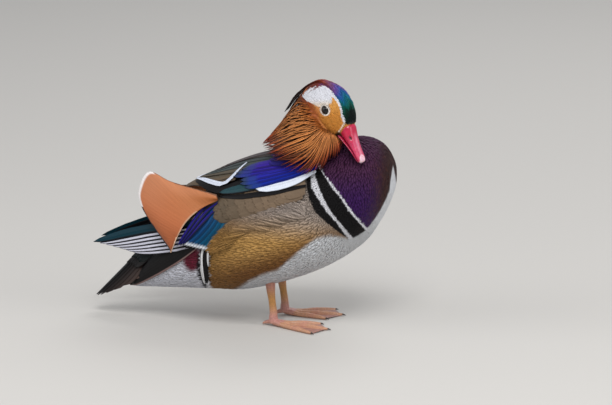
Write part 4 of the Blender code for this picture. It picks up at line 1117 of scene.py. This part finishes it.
def scapular_jobs(pic):
    """The shoulder feathers from the ridge down, by their places in the picture."""
    jobs = []
    for path in between(*RIDGE_GROUP):
        jobs.append((pic(path), 11, (-0.2, 0.2), 0.3, ((-1, RIDGE), (0.7, RIDGE_EDGE))))
    jobs.append((pic(BRONZE_PATH), 16, (-0.4, 0.2), 0.3, ((-1, BRONZE),)))
    jobs.append((pic(HOOK_SHADOW), 9, (0.3, 0.9), 0.2, ((-1, BLACK),)))
    for k, path in enumerate(between(*UPPER_GROUP)):
        tone = blend(blend(BRONZE, UPPER_VIOLET, 0.3 * k / 5), GREEN, 0.5 * (k in (1, 2)))
        jobs.append((pic(path), 12, (-0.2, 1.0 + 0.16 * k), 0.5, ((-1, tone), (0.75, tone * 0.6))))
    jobs.append((pic(WHITE_HOOK), 5.6, (1.0, 1.5), 0.2, ((-1, PALE_BLUE),)))
    jobs.append((pic(BLACK_PATH), 5.5, (0.4, 1.2), 0.2, ((-1, BLACK),)))
    jobs.append((pic(GREEN_PATH), 10, (0.2, 1.3), 0.5, ((-1, GREEN), (0.8, SOOT))))
    spear = ((-1, BLUE), (-0.45, OFF_WHITE), (0.86, BLACK))
    jobs.append((pic(SPEAR_PATH), 11, (0.6, 1.7), 0.4, spear))
    for k, path in enumerate(between(*BLUE_GROUP)):
        tone = blend(BLUE, VIOLET, k / 5)
        path[-1] += (CHANCE.uniform(-9, 8), 0)
        tips = ((0.8, blend(tone, GREEN, 0.4)), (0.9, blend(tone, SLATE, 0.8)))
        jobs.append((pic(path), 12.5, (0.4, 1.9 + 0.12 * k), 0.6, ((-1, tone), (0.6, tone * 0.5)), tips))
    for k, path in enumerate(between(*MANTLE_GROUP)):
        tone = blend(MANTLE, MANTLE_BROWN, k / 4)
        jobs.append((pic(path), 11, (1.0, 2.6), 0.4, ((-1, tone), (0.8, tone * 0.7))))
    return jobs


# The wing's feathers in the picture: the speculum, the dark band beside it, and the coverts' rows of tips,
# which lie between an upper and a lower line.
TEAL_GROUP = ((216, 204), (200, 226), (180, 245)), ((230, 216), (218, 232), (204, 250.5)), 9
BAND_GROUP = ((217, 198), (201, 212), (178, 246)), ((219, 207), (208, 217), (183, 245)), 3
COVERT_TOP = np.array(((286, 188), (262, 195), (226, 201), (213, 208)))
COVERT_LOW = np.array(((283, 199), (262, 208), (232, 217.5), (213, 219)))
COVERT_ROWS, COVERT_LENGTH, COVERT_FRONT, COVERT_DARK_X = 13, 26, 305, (262, 216)
TEAL_BLUE, TEAL_DARK, SPECULUM_EDGE = rgb(0, 66, 124), rgb(4, 20, 30), rgb(216, 220, 226)
BAND_BLUE, BAND_DARK, COVERT_DARK = rgb(30, 22, 118), rgb(10, 14, 50), rgb(78, 68, 54)


def wing_jobs(pic):
    """The wing's brown coverts, the speculum and the dark band beside the sail."""
    jobs = []
    for k, path in enumerate(between(*TEAL_GROUP)):
        tone = blend(TEAL_BLUE, TEAL, k / 8) * (0.7 + 0.5 * (k % 2))
        tips = ((0.86, TEAL_DARK), (0.9, SPECULUM_EDGE), (0.965, BLACK))
        jobs.append((pic(path), 7.5, (-0.6, 0.2), 0.5, ((-1, tone), (0.5, tone * 0.6)), tips))
    for path in between(*BAND_GROUP):
        jobs.append((pic(path), 4.2, (0.0, 0.9), 0.4, ((-1, BAND_BLUE), (0.2, BAND_DARK))))
    for i in range(COVERT_ROWS):
        share = 1 - i / (COVERT_ROWS - 1)
        a, b = (read_line(share * 3, range(4), line) for line in (COVERT_TOP, COVERT_LOW))
        count = 4 if share > 0.3 else 3
        for j in range(count):
            tip = a + (b - a) * (j + 0.5 * (i % 2)) / (count - 0.5) + CHANCE.uniform(-1.5, 1.5, 2)
            root = tip + (min(COVERT_LENGTH, COVERT_FRONT - tip[0]), -5.0)
            tone = blend(OLIVE, COVERT_DARK, 0.7 * step(tip[0], *COVERT_DARK_X)) * CHANCE.uniform(0.94, 1.06)
            path = pic((root, (root + tip) / 2 + (0, -0.6), tip))
            jobs.append((path, 10.5, (-0.7, 0.35 + 0.3 * (1 - share)), 0.05, ((-1, tone),)))
    return jobs


# The closed primaries, as paths on the wing's surface in millimetres: forward and up.
PRIMARY_GROUP = ((-70, 110), (-130, 95.5), (-190, 75)), ((-74, 86), (-112, 76), (-146, 69)), 7
TOP_PRIMARY = ((-1, rgb(4, 46, 58)), (0.7, rgb(8, 16, 22)))
PRIMARY = ((-1, BLACK), (0.3, rgb(206, 206, 220)), (0.84, rgb(30, 30, 34)))


def primary_jobs():
    """The closed primaries, the uppermost in dark green."""
    paths = enumerate(between(*PRIMARY_GROUP))
    return [(path, 9.4, (-5.3, -4.6), 1.0, PRIMARY if k else TOP_PRIMARY) for k, path in paths]


# Where the flank's plumes end in the picture, from the breast back.
PLUME_LINE = np.array(
    ((300, 202), (280, 207), (262, 213), (244, 219), (230, 223), (221, 231), (212, 241), (206, 252)), float
)
PLUMES, PLUME_LENGTH, PLUME_FRONT, PLUME_LINES_X = 900, (16, 26), 306, (210, 226)
PLUME_SHAPE = np.array((0.5, 0.9, 1, 0.9, 0.7, 0.4, 0.06))


def flank_plumes(shell):
    """Fine plumes of the flank that lie over the wing's lower edge."""
    n, marks = PLUMES, range(len(PLUME_LINE))
    s = CHANCE.uniform(0, 1, n)
    at = read_line(s * marks[-1], marks, PLUME_LINE)
    heading = unit(read_line(s * marks[-1], marks, np.gradient(PLUME_LINE, axis=0)))
    away = np.stack([heading[:, 1], -heading[:, 0]], -1)
    away *= np.sign(away[:, 1:2] + 0.3 * away[:, 0:1])
    tip = at - away * CHANCE.uniform(-5, 2.5, (n, 1))
    root = tip - heading * CHANCE.uniform(*PLUME_LENGTH, (n, 1)) + away * CHANCE.uniform(5, 16, (n, 1))
    root[:, 0] = np.minimum(root[:, 0], PLUME_FRONT)
    bend = (root + tip) / 2 + away * 1.5
    u = np.linspace(0, 1, len(PLUME_SHAPE))
    ends = [shell.from_picture(p) for p in (root, bend, tip)]
    path = sum(e[:, None] * k[None, :, None] for e, k in zip(ends, ((1 - u) ** 2, 2 * u * (1 - u), u**2)))
    lift = -4.6 + (5.9 * u**0.7)[None] * CHANCE.uniform(0.85, 1.02, (n, 1))
    line = shell.place(path[..., 0], path[..., 1], lift)
    normal = shell.place(path[..., 0], path[..., 1], lift + 1) - line
    half = 1.25 * PLUME_SHAPE * CHANCE.uniform(0.7, 1.2, (n, 1))
    rings, vane = barb_rings(line, normal, half, 0.16 * half + 0.05)
    px, py = seen(rings)
    tint = flank_colour(px, py) * CHANCE.uniform(0.95, 1.05, (n, 1, 1, 1))
    full = np.concatenate([tint, step(px, *PLUME_LINES_X)[..., None]], -1)
    return rings, full, vane, np.stack([np.full(n, 0.95), 0.05 + 0.9 * s], -1)


# The long feathers that close the flank, in the picture: one black, and white ones over it.
REAR_BLACK = ((230, 219), (219, 231), (210, 241.5), (205, 252), (204.5, 264), (205.5, 274), (207.5, 283))
REAR_WHITES = (
    ((229, 220), (217.5, 235), (210.5, 245), (208.6, 255), (209, 266)),
    ((221, 227), (212, 237.5), (205, 246), (202.4, 256), (203, 269), (205, 280)),
    ((201, 264), (202.5, 274), (205, 283)),
)
REAR_WHITE = rgb(214, 214, 216)


def rear_jobs(pic):
    """The long black and white feathers that close the flank towards the tail."""
    whites = [(pic(line), 2.1, (0.5, 1.8), 0.0, ((-1, REAR_WHITE),)) for line in REAR_WHITES]
    return [(pic(REAR_BLACK), 8.5, (-0.2, 1.2), 0.0, ((-1, BLACK),)), *whites]


# The sail in millimetres: how far it stands off the wing, leans in and bulges, and its rims.
SAIL_LIFT, SAIL_LEAN, SAIL_BULGE, SAIL_GRID = 3.8, 0.36, 3.5, (90, 34)
WHITE_RIM, BLACK_RIM, BROWN_RIM, SHAFT_EDGE = 2.3, 2.0, 1.2, 0.9
SAIL = ((0, rgb(160, 92, 46)), (0.25, rgb(180, 112, 70)), (0.6, rgb(180, 104, 64)), (1, rgb(132, 66, 34)))
SAIL_LIGHT, SAIL_BROWN, SAIL_WHITE = rgb(192, 128, 92), rgb(120, 76, 50), rgb(232, 226, 224)
SAIL_BLACK, SAIL_SHAFT_PALE = rgb(16, 14, 20), rgb(226, 190, 160)


def sail_grid(side):
    """The sail's sheet from shaft to edge: places, distance aside, shares down and across, and width."""
    shell = Shell(WING_SHELL, side, WING_REACH)
    turn = math.radians(SAIL_TURNS[side])
    spin = np.array([[math.cos(turn), -math.sin(turn)], [math.sin(turn), math.cos(turn)]])
    root = np.array(SAIL_SHAFT[0], float)
    t, s = np.meshgrid(*(np.linspace(0, 1, n) for n in SAIL_GRID), indexing="ij")
    ends = []
    for outline in (SAIL_SHAFT, SAIL_EDGE):
        line = smooth_rows(outline, 8)
        ends.append(root + (read_line(t, np.linspace(0, 1, len(line)), line) - root) @ spin.T)
    lift = SAIL_LIFT - 1.5 * np.maximum(0, 1 - t / 0.12)
    foot = np.abs(shell.place(ends[0][..., 0], ends[0][..., 1], lift)[..., 1])
    wide = np.linalg.norm(ends[1] - ends[0], axis=-1)
    spot = ends[0] + (ends[1] - ends[0]) * s[..., None]
    return spot, foot - SAIL_LEAN * wide * s + SAIL_BULGE * np.sin(np.pi * s), t, s, wide


def sail_colour(t, s, wide):
    """The sail's orange with its white and black rims, by shares down and across and its width."""
    body = ramp(t, SAIL)
    body = blend(body, SAIL_LIGHT, 0.5 * step(s, 0.3, 0.9) * step(t, 0.7, 0.35))
    rim = (1 - s) * wide
    for where, colour in (
        ((rim < BROWN_RIM) & (t < 0.34), SAIL_BROWN),
        ((rim < WHITE_RIM) & (t > 0.34) & (t < 0.66), SAIL_WHITE),
        ((rim < BLACK_RIM) & (t >= 0.64), SAIL_BLACK),
        ((s * wide < SHAFT_EDGE) & (t > 0.3), SAIL_SHAFT_PALE),
    ):
        body = np.where(where[..., None], colour, body)
    return body


def sail_coat(side, word):
    """The raised orange sail with its white and black rims and its fine barbs."""
    spot, y, t, s, wide = sail_grid(side)
    ripple = 0.12 * np.sin(t * 160 + 6 * s) * (s > 0.05)
    thick = 0.28 + 0.25 * (1 - s) + 0.3 * np.exp(-((s * 18) ** 2))
    top, bottom = (np.dstack([spot[..., 0], side * (y + d + ripple), spot[..., 1]]) for d in (thick, -thick))
    body = sail_colour(t, s, wide)
    chart = np.stack([s * 2, t * 110], -1)

    def folded(front, back):
        return np.concatenate([front, back[:, ::-1]], 1)

    coat = Coat("sail_feather_" + word, BLADE, "sail", "sail_" + word)
    middle = np.array([[0.5, 0.5]])
    # The inner face is a darker copy of the outer colours, as painted shade.
    coat.add(folded(top, bottom)[None], folded(body, body * 0.7)[None], folded(chart, chart)[None], middle)
    across, down = np.concatenate([s, 2 - s], 1), np.concatenate([t, t], 1)
    patch = np.stack([across * 0.45 + 0.05, down * 0.9 + 0.05], -1)
    coat.bakes = [patch.reshape(-1, 2)]
    coat.make()


def wings():
    """The feathers of both sides: wing, flank, primaries, shoulder and sail."""
    for side, word in SIDES:
        wing, torso = Shell(WING_SHELL, side, WING_REACH), Shell(TORSO, side, TORSO_REACH)
        back = Shell(BACK_SHELL, side, BACK_REACH, True)
        coat = Coat("wing_feathers_" + word, GLOSSY, "wing", "wing_" + word)
        lay_all(coat, wing.place, wing_jobs(wing.from_picture), 0.02, shaft=0.96, thick=0.16)
        coat.make()
        plumes = Coat("flank_plumes_" + word, FEATHER, "torso")
        plumes.add(*flank_plumes(wing))
        lay_all(plumes, torso.place, rear_jobs(torso.from_picture), 0.5, rows=24, shaft=1.0)
        plumes.make()
        coat = Coat("flight_feathers_" + word, GLOSSY, "primaries", "primaries_" + word)
        lay_all(coat, wing.place, primary_jobs(), 0.5, columns=15, rows=20)
        coat.make()
        coat = Coat("shoulder_feathers_" + word, GLOSSY, "scapulars", "scapulars_" + word)
        lay_all(coat, back.place, scapular_jobs(back.from_picture), 0.5, columns=13, rows=16)
        coat.make()
        sail_coat(side, word)


# The tail: pairs of long feathers from the middle out, and rows of coverts, each with its reach and how many
# feathers it has to each side. The drapes close the gap to the flanks, by their paths in the picture.
TAIL_PAIRS, TAIL_ROOF = 7, 0.036
TAIL_COVERTS = ((66, 5), (58, 5), (50, 4), (42, 4), (34, 3))
DRAPE_GROUP = ((200, 236), (170, 250), (134, 272)), ((197, 246), (165, 266), (128, 287)), 5
TAIL_DARK, TAIL_BROWN, DRAPE = rgb(18, 16, 17), rgb(74, 58, 52), rgb(16, 14, 15)
COVERT_BROWN, COVERT_GREEN, DRAPE_PALE = rgb(26, 24, 24), rgb(14, 34, 34), rgb(126, 102, 98)


def tail_place(back, across, lift):
    """The tail's surface: distance back from its root and distance across, in the bird's frame."""
    pitch = math.radians(TAIL_PITCH)
    along = np.array([-math.cos(pitch), 0, -math.sin(pitch)])
    out = np.array([-math.sin(pitch), 0, math.cos(pitch)])
    back, across = np.asarray(back, float), np.asarray(across, float)
    rise = np.asarray(lift) - TAIL_ROOF * across * across
    return TAIL_BASE + along * back[..., None] + out * rise[..., None] + across[..., None] * (0, 1, 0)


def tail():
    """The tail's long feathers, its coverts and the drapes over its root."""
    jobs = []
    for k in range(TAIL_PAIRS):
        for side, _ in SIDES:
            lift = -0.85 * k - 0.4 * (side > 0) * (k == 0)
            ends = (8, 1 + 0.9 * k), (60, 1.4 + 2.4 * k), (TAIL_LENGTH - 0.6 - 1.3 * k * k, 1.6 + 2.9 * k)
            path = [(back, side * across) for back, across in ends]
            tone = blend(TAIL_DARK, TAIL_BROWN, 0.9 * (k / 6) ** 2)
            bands, tips = ((-1, tone), (0.86, tone * 1.3)), ((0.975, tone * 1.6),)
            jobs.append((path, 12, (lift, lift), 0.0, bands, tips))
    for row, (reach, spread) in enumerate(TAIL_COVERTS):
        for j in range(-spread, spread + 1):
            path = ((4, 2.4 * j), (reach * 0.55, 3.0 * j), (reach - abs(j) * 1.5, 3.2 * j))
            tone = blend(COVERT_BROWN, COVERT_GREEN, 0.5 * (row % 2))
            jobs.append((path, 8.5, (0.0, 0.7 + 0.45 * row), 0.0, ((-1, tone),), ((0.93, tone * 1.4),)))
    coat = Coat("tail_feathers", GLOSSY, "tail", "tail")
    lay_all(coat, tail_place, jobs, 0.3)
    for side, _ in SIDES:
        shell = Shell(TORSO, side, TORSO_REACH)
        edges = [TAIL_BLACK] * (DRAPE_GROUP[-1] - 1) + [DRAPE_PALE]
        drapes = zip(between(*DRAPE_GROUP), edges)
        sheets = [(shell.from_picture(p), 9, (-0.6, -0.2), 0.2, ((-1, DRAPE), (0.6, c))) for p, c in drapes]
        lay_all(coat, shell.place, sheets, 0.3)
    coat.make()


BILL_RED, BILL_PINK, LOWER_RED = rgb(188, 26, 66), rgb(206, 60, 100), rgb(170, 30, 66)
NAIL_PALE, NOSTRIL_DARK = rgb(232, 196, 206), rgb(70, 16, 26)
RIDGE_HIGHLIGHT, MOUTH_RED = rgb(236, 158, 180), rgb(150, 28, 56)
# The edge of the upper half over the mouth, and the lip of the lower half: forward and up.
MOUTH_EDGE, LOWER_LIP = ((0, -7.5), (29, -3.9), (34, -4.4)), ((0, -9.2), (32, -5.4))


def shape_upper_bill(grid, tint):
    """Presses the nostrils in and raises the nail, and returns the colours with both and a painted highlight
    on the ridge.

    The three parts of the grid are views, so what is added to them moves the grid."""
    f, l, u = (grid[..., k] for k in range(3))
    x, y, z = NOSTRIL_SIZE
    pit = np.hypot(np.hypot((f - NOSTRIL[0]) / x, (u - NOSTRIL[2]) / z), (np.abs(l) - NOSTRIL[1]) / y)
    l -= np.sign(l) * 1.5 * step(pit, 1.0, 0.3)
    u -= 0.8 * step(pit, 1.0, 0.3)
    nail = np.hypot((f - NAIL_AT) / NAIL_SIZE[0], l / NAIL_SIZE[1])
    u += 0.35 * step(nail, 1.0, 0.8) * (u > -2.6)
    tint = blend(tint, NAIL_PALE, step(nail, 1.12, 0.9))
    tint = blend(tint, NOSTRIL_DARK, step(pit, 1.0, 0.55))
    # A painted highlight along the ridge near the bill's root.
    tint = blend(tint, RIDGE_HIGHLIGHT, 0.5 * step(np.abs(l), 3.2, 0.8) * step(f, 3, 12) * (u > -3))
    return blend(tint, MOUTH_RED, 0.7 * step(u - read_edge(f, MOUTH_EDGE), 1.4, 0.2))


def bill():
    """The bill's two halves with the nail, the nostrils and the soft edge of the mouth."""
    for half, stations in (("upper", UPPER_BILL), ("lower", LOWER_BILL)):
        grid = section_grid(stations, 9, 72, 0.0, BILL_POWER)
        tint = blend(BILL_RED, BILL_PINK, step(grid[..., 0], 4, 22) * 0.8)
        if half == "upper":
            tint = shape_upper_bill(grid, tint)
        else:
            tint = blend(tint, LOWER_RED, 0.6)
            grid[..., 2] += 0.3 * (grid[..., 2] > read_edge(grid[..., 0], LOWER_LIP))
        points = through(BILL_FRAME, grid).reshape(-1, 3)
        made = make_mesh("bill_" + half + "_horn", points, grid_faces(*grid.shape[:2]), tint.reshape(-1, 3))
        settle(made, HORN, "bill", "bill_" + half)


# The pupil's edge and the iris's outer edge, and the lid's ring with the radius of its roll.
PUPIL, IRIS, LID_RING, LID_HEIGHT, LID_ROLL = (2.4, 2.9), (4.0, 3.5), 4.78, 16.95, (0.42, 0.5)
PUPIL_BLACK, IRIS_BROWN = rgb(5, 4, 4), rgb(24, 13, 8)
LID_PALE, LID_BROWN = rgb(224, 214, 204), rgb(90, 62, 48)


def ball(at, radius, rows=40, sides=48):
    """A grid of points round a ball, its poles towards the head's sides."""
    down, round_it = np.linspace(0.02, np.pi - 0.02, rows), np.arange(sides) * 2 * np.pi / sides
    angle, turn = np.meshgrid(down, round_it, indexing="ij")
    x, z = np.sin(angle) * np.cos(turn), np.sin(angle) * np.sin(turn)
    return np.array(at) + radius * np.stack([x, np.cos(angle), z], -1)


def eyeball(side, word):
    """The glossy ball with its black pupil in a dark brown iris."""
    grid = ball((EYE[0], side * EYE[1], EYE[2]), EYE_RADIUS)
    aside = np.hypot(grid[..., 0] - EYE[0], grid[..., 2] - EYE[2])
    tint = blend(PUPIL_BLACK, IRIS_BROWN, step(aside, *PUPIL) * step(aside, *IRIS))
    points = through(HEAD_FRAME, grid).reshape(-1, 3)
    made = make_mesh("eyeball_" + word, points, grid_faces(*grid.shape[:2]), tint.reshape(-1, 3))
    settle(made, GLASS, "eye", "eye_" + word)


def eyelid(side, word, rows=64, sides=12):
    """The thin ring of skin round the eye."""
    turn, tube = (np.arange(n) * 2 * np.pi / n for n in (rows, sides))
    turn, tube = np.meshgrid(turn, tube, indexing="ij")
    wide, high = LID_ROLL
    reach = LID_RING + wide * np.cos(tube)
    squeeze = 1 - 0.08 * np.abs(np.sin(turn))
    height = side * (LID_HEIGHT + high * np.sin(tube) - 0.2 * np.cos(2 * turn))
    lid = np.dstack([reach * np.cos(turn) + EYE[0], height, reach * squeeze * np.sin(turn) + EYE[2]])
    i, j = np.meshgrid(np.arange(rows), np.arange(sides), indexing="ij")
    here, after, k = i * sides, (i + 1) % rows * sides, (j + 1) % sides
    faces = split_quads(here + j, here + k, after + k, after + j)
    tone = blend(LID_PALE, LID_BROWN, step(np.cos(tube), -0.2, -0.7))
    made = make_mesh("eyelid_" + word, through(HEAD_FRAME, lid).reshape(-1, 3), faces, tone.reshape(-1, 3))
    settle(made, LID, "head")


def eyes():
    for side, word in SIDES:
        eyeball(side, word)
        eyelid(side, word)


# The legs in millimetres. Toes have a length and an angle, and heights and radii at shares of their length.
TOES, TOE_IN = ((51, 20), (62, -4), (58, -29)), 4
TOE_MARKS, TOE_HEIGHTS = (0, 0.3, 0.55, 0.78, 0.93), (4.5, 2.6, 2.5, 2.1, 1.5)
TOE_RADII = (3.6, 2.6, 2.7, 2.1, 1.3)
CLAW_MARKS, CLAW_HEIGHTS, CLAW_RADII = (-0.04, 0.02, 0.07), (1.7, 1.7, 0.7), (1.1, 0.95, 0.35)
# The hind toe and the shin: forward, how far in from the leg, height and radius.
HIND_TOE = ((-2, 0, 4.5, 2.6), (-8, 2, 3, 1.8), (-12, 3.5, 1.2, 0.7))
SHIN = (
    (0.5, 0, 3, 5.0), (0, 0, 9, 4.6), (0, 0, 14, 4.0),
    (-1.5, 0.5, 26, 3.7), (-3, 1, 38, 4.7), (-4, 2, 56, 6.2),
)
SCUTE, TOE_SCUTES, SHIN_SCUTES, LEG_VOXEL = 2.1, 0.1, 0.07, 0.0005
# The web's share of the toes, its height over the floor, its folds and how far its edge is drawn in.
WEB_SHARE, WEB_TOP, WEB_BOTTOM, WEB_FOLD, WEB_SAG, WEB_BAY = (0.1, 0.93), 1.75, 0.15, 0.25, 0.5, 0.15
LEG_BUFF, LEG_OCHRE, WEB_PINK = rgb(188, 138, 108), rgb(172, 122, 62), rgb(158, 112, 100)
JOINT_PINK, KNUCKLE_PINK, CLAW_DARK = rgb(176, 116, 124), rgb(186, 122, 110), rgb(58, 44, 40)


def bar(points, radii, scutes=0.0, steps=10, sides=18):
    """A tapering round bar through points, with rings of scutes pressed in it."""
    rows = smooth_rows(np.column_stack([points, radii]), steps)
    line, radius = rows[:, :3], rows[:, 3]
    along = unit(np.gradient(line, axis=0))
    upward = (0.0, 0.03, 1.0) if abs(along[0, 2]) < 0.8 else (1.0, 0.0, 0.0)
    side = unit(np.cross(along, upward))
    up = np.cross(side, along)
    radius = radius * (1 + scutes * np.abs(np.sin(line_lengths(line) * np.pi / SCUTE)) - scutes)
    angle = (np.arange(sides) * 2 * np.pi / sides)[None, :, None]
    ring = side[:, None] * np.cos(angle) + up[:, None] * np.sin(angle)
    return line[:, None] + ring * radius[:, None, None]


def leg_bar(rows, side, scutes, steps=10):
    """A bar through rows of forward, inward, height and radius."""
    points = [(x, side * (LEG_Y - inward), z) for x, inward, z, _ in rows]
    return bar(points, [row[-1] for row in rows], scutes, steps)


def toe(ankle, reach):
    """A toe and its claw from the ankle along its reach."""
    bars = (TOE_MARKS, TOE_HEIGHTS, TOE_RADII, TOE_SCUTES), (CLAW_MARKS, CLAW_HEIGHTS, CLAW_RADII, 0.0)
    start, grids = ankle, []
    for marks, heights, radii, scutes in bars:
        spots = [start + reach * t for t in marks]
        grids.append(bar([(*p, h) for p, h in zip(spots, heights)], radii, scutes))
        start = spots[-1]
    return grids


def web(ankle, near, far):
    """The web between two toes, a folded sheet with a bay in its edge."""
    t, s = np.meshgrid(np.linspace(*WEB_SHARE, 30), np.linspace(0, 1, 20), indexing="ij")
    share = (t * (1 - WEB_BAY * np.sin(np.pi * s) * t))[..., None]
    spot = (ankle + near * share) * (1 - s[..., None]) + (ankle + far * share) * s[..., None]
    fold = WEB_FOLD * np.sin(s * np.pi * 7 + 3 * t) * np.sin(np.pi * s)
    top = np.dstack([spot, WEB_TOP + fold - WEB_SAG * np.sin(np.pi * s)])
    bottom = np.dstack([spot, np.full(s.shape, WEB_BOTTOM)])
    return np.concatenate([top, bottom[:, ::-1]], 1)


def bump(x, middle, width):
    """A smooth hill of height 1."""
    return np.exp(-(((x - middle) / width) ** 2))


def leg_colour(spots, side, ankle, reaches):
    """The leg's colours: ochre shin, buff toes with pink knuckles, duller webs and dark claws."""
    tint = blend(LEG_BUFF, LEG_OCHRE, step(spots[:, 2], 8, 26))
    aside = spots[:, :2] - ankle
    angle = np.degrees(np.arctan2(-side * aside[:, 1], np.maximum(aside[:, 0], 0.1))) + TOE_IN
    far = np.hypot(*aside.T)
    off = np.min([np.abs(angle - toe_angle) for _, toe_angle in TOES], axis=0) * np.pi / 180 * far
    webbed = step(off, 2.4, 3.6) * (spots[:, 2] < 3) * (aside[:, 0] > 8)
    tint = blend(tint, WEB_PINK, webbed)
    joint = bump(spots[:, 2], 8, 7) + bump(spots[:, 2], 42, 8)
    tint = blend(tint, JOINT_PINK, 0.55 * np.clip(joint, 0, 1) * (far < 12))
    tint = blend(tint, KNUCKLE_PINK, bump(far, 32, 4) * (1 - webbed) * 0.4)
    claw = np.min([np.hypot(*(spots[:, :2] - ankle - reach).T) for reach in reaches], axis=0)
    return blend(tint, CLAW_DARK, step(claw, 4.4, 3.2))


def feet():
    """The legs with their scaly toes, webs and claws, melted together on each side."""
    for side, word in SIDES:
        ankle = np.array([0.0, side * LEG_Y])
        reaches, grids = [], []
        for length, angle in TOES:
            turn = math.radians(-side * (angle - TOE_IN))
            reaches.append(np.array([math.cos(turn), math.sin(turn)]) * length)
            grids += toe(ankle, reaches[-1])
        grids += [leg_bar(HIND_TOE, side, TOE_SCUTES), leg_bar(SHIN, side, SHIN_SCUTES, 14)]
        grids += [web(ankle, near, far) for near, far in zip(reaches, reaches[1:])]
        made = make_mesh("leg_skin_" + word, *join_grids(grids))
        mesh = melt(made, LEG_VOXEL, 2)
        spots = get_points(mesh)
        spots[:, 2] = np.maximum(spots[:, 2], 0)
        set_points(mesh, spots)
        paint(mesh, leg_colour(spots, side, ankle, reaches))
        shade_smooth(mesh)
        settle(made, SCALY, "leg", "leg_" + word, "foot_" + word)


# The studio in metres. The lamps: place, size and power.
FLOOR_HALF, FLOOR_COLOUR, FLOOR_ROUGH = 16, (0.56, 0.54, 0.51, 1), 0.85
SKY_COLOUR, SKY_STRENGTH = (0.92, 0.95, 1.0, 1), 0.42
LAMPS = (
    ((0.5, -1.5, 2.0), 1.2, 38), ((-1.6, -0.9, 1.1), 1.4, 12),
    ((0.4, 1.6, 1.8), 1.4, 16), ((1.8, -0.6, 0.9), 1.0, 8),
)
LAMP_AIM = (0.02, 0, 0.12)
CAMERA_LENS, CAMERA_AZIMUTH, CAMERA_HEIGHT, CAMERA_DISTANCE = 352.94, 13, 12, 6.0
CAMERA_AIM = (29.6, -8.0, 124.2)


def place_facing(thing, at, aim):
    """Puts a lamp or a camera at a place, turned to what it aims at."""
    made = bpy.data.objects.new(thing.name, thing)
    made.location = at
    made.rotation_euler = (Vector(aim) - Vector(at)).to_track_quat("-Z", "Y").to_euler()
    bpy.context.scene.collection.objects.link(made)
    return made


def floor():
    mesh, size = bpy.data.meshes.new("floor"), FLOOR_HALF
    corners = [(-size, -size, 0), (size, -size, 0), (size, size, 0), (-size, size, 0)]
    mesh.from_pydata(corners, [], [(0, 1, 2, 3)])
    made = bpy.data.objects.new("floor", mesh)
    bpy.context.scene.collection.objects.link(made)
    plain = bpy.data.materials.new("pale_floor")
    plain.use_nodes = True
    shader = plain.node_tree.nodes["Principled BSDF"]
    shader.inputs["Base Color"].default_value = FLOOR_COLOUR
    shader.inputs["Roughness"].default_value = FLOOR_ROUGH
    mesh.materials.append(plain)


def studio():
    """The floor, the soft lights and the camera."""
    floor()
    world = bpy.data.worlds.new("studio")
    world.use_nodes = True
    sky = world.node_tree.nodes["Background"]
    sky.inputs["Color"].default_value = SKY_COLOUR
    sky.inputs["Strength"].default_value = SKY_STRENGTH
    bpy.context.scene.world = world
    for at, size, power in LAMPS:
        lamp = bpy.data.lights.new("soft", "AREA")
        lamp.size, lamp.energy = size, power
        place_facing(lamp, at, LAMP_AIM)
    view = bpy.data.cameras.new("camera")
    view.lens, view.sensor_width, view.clip_end = CAMERA_LENS, 36, 100
    azimuth, height = math.radians(CAMERA_AZIMUTH), math.radians(CAMERA_HEIGHT)
    level = math.cos(height)
    away = Vector((math.sin(azimuth) * level, -math.cos(azimuth) * level, math.sin(height)))
    x, y, z = CAMERA_AIM
    aim = Vector((x + SHIFT, y, z)) * 0.001
    bpy.context.scene.camera = place_facing(view, aim + away * CAMERA_DISTANCE, aim)
    bpy.context.scene.view_settings.view_transform = "Standard"


studio()
build_skin()
torso_coat("coat", gap=1.98, tries=100000, keep=outside_wing, size=1.0, top=1.15, ridge=0.14)
torso_coat("stripes", gap=1.15, tries=260000, keep=on_stripes, size=0.5, top=1.45, ridge=0.1)
head_coat()
crest_coat()
ruff_coat()
wings()
tail()
bill()
eyes()
feet()
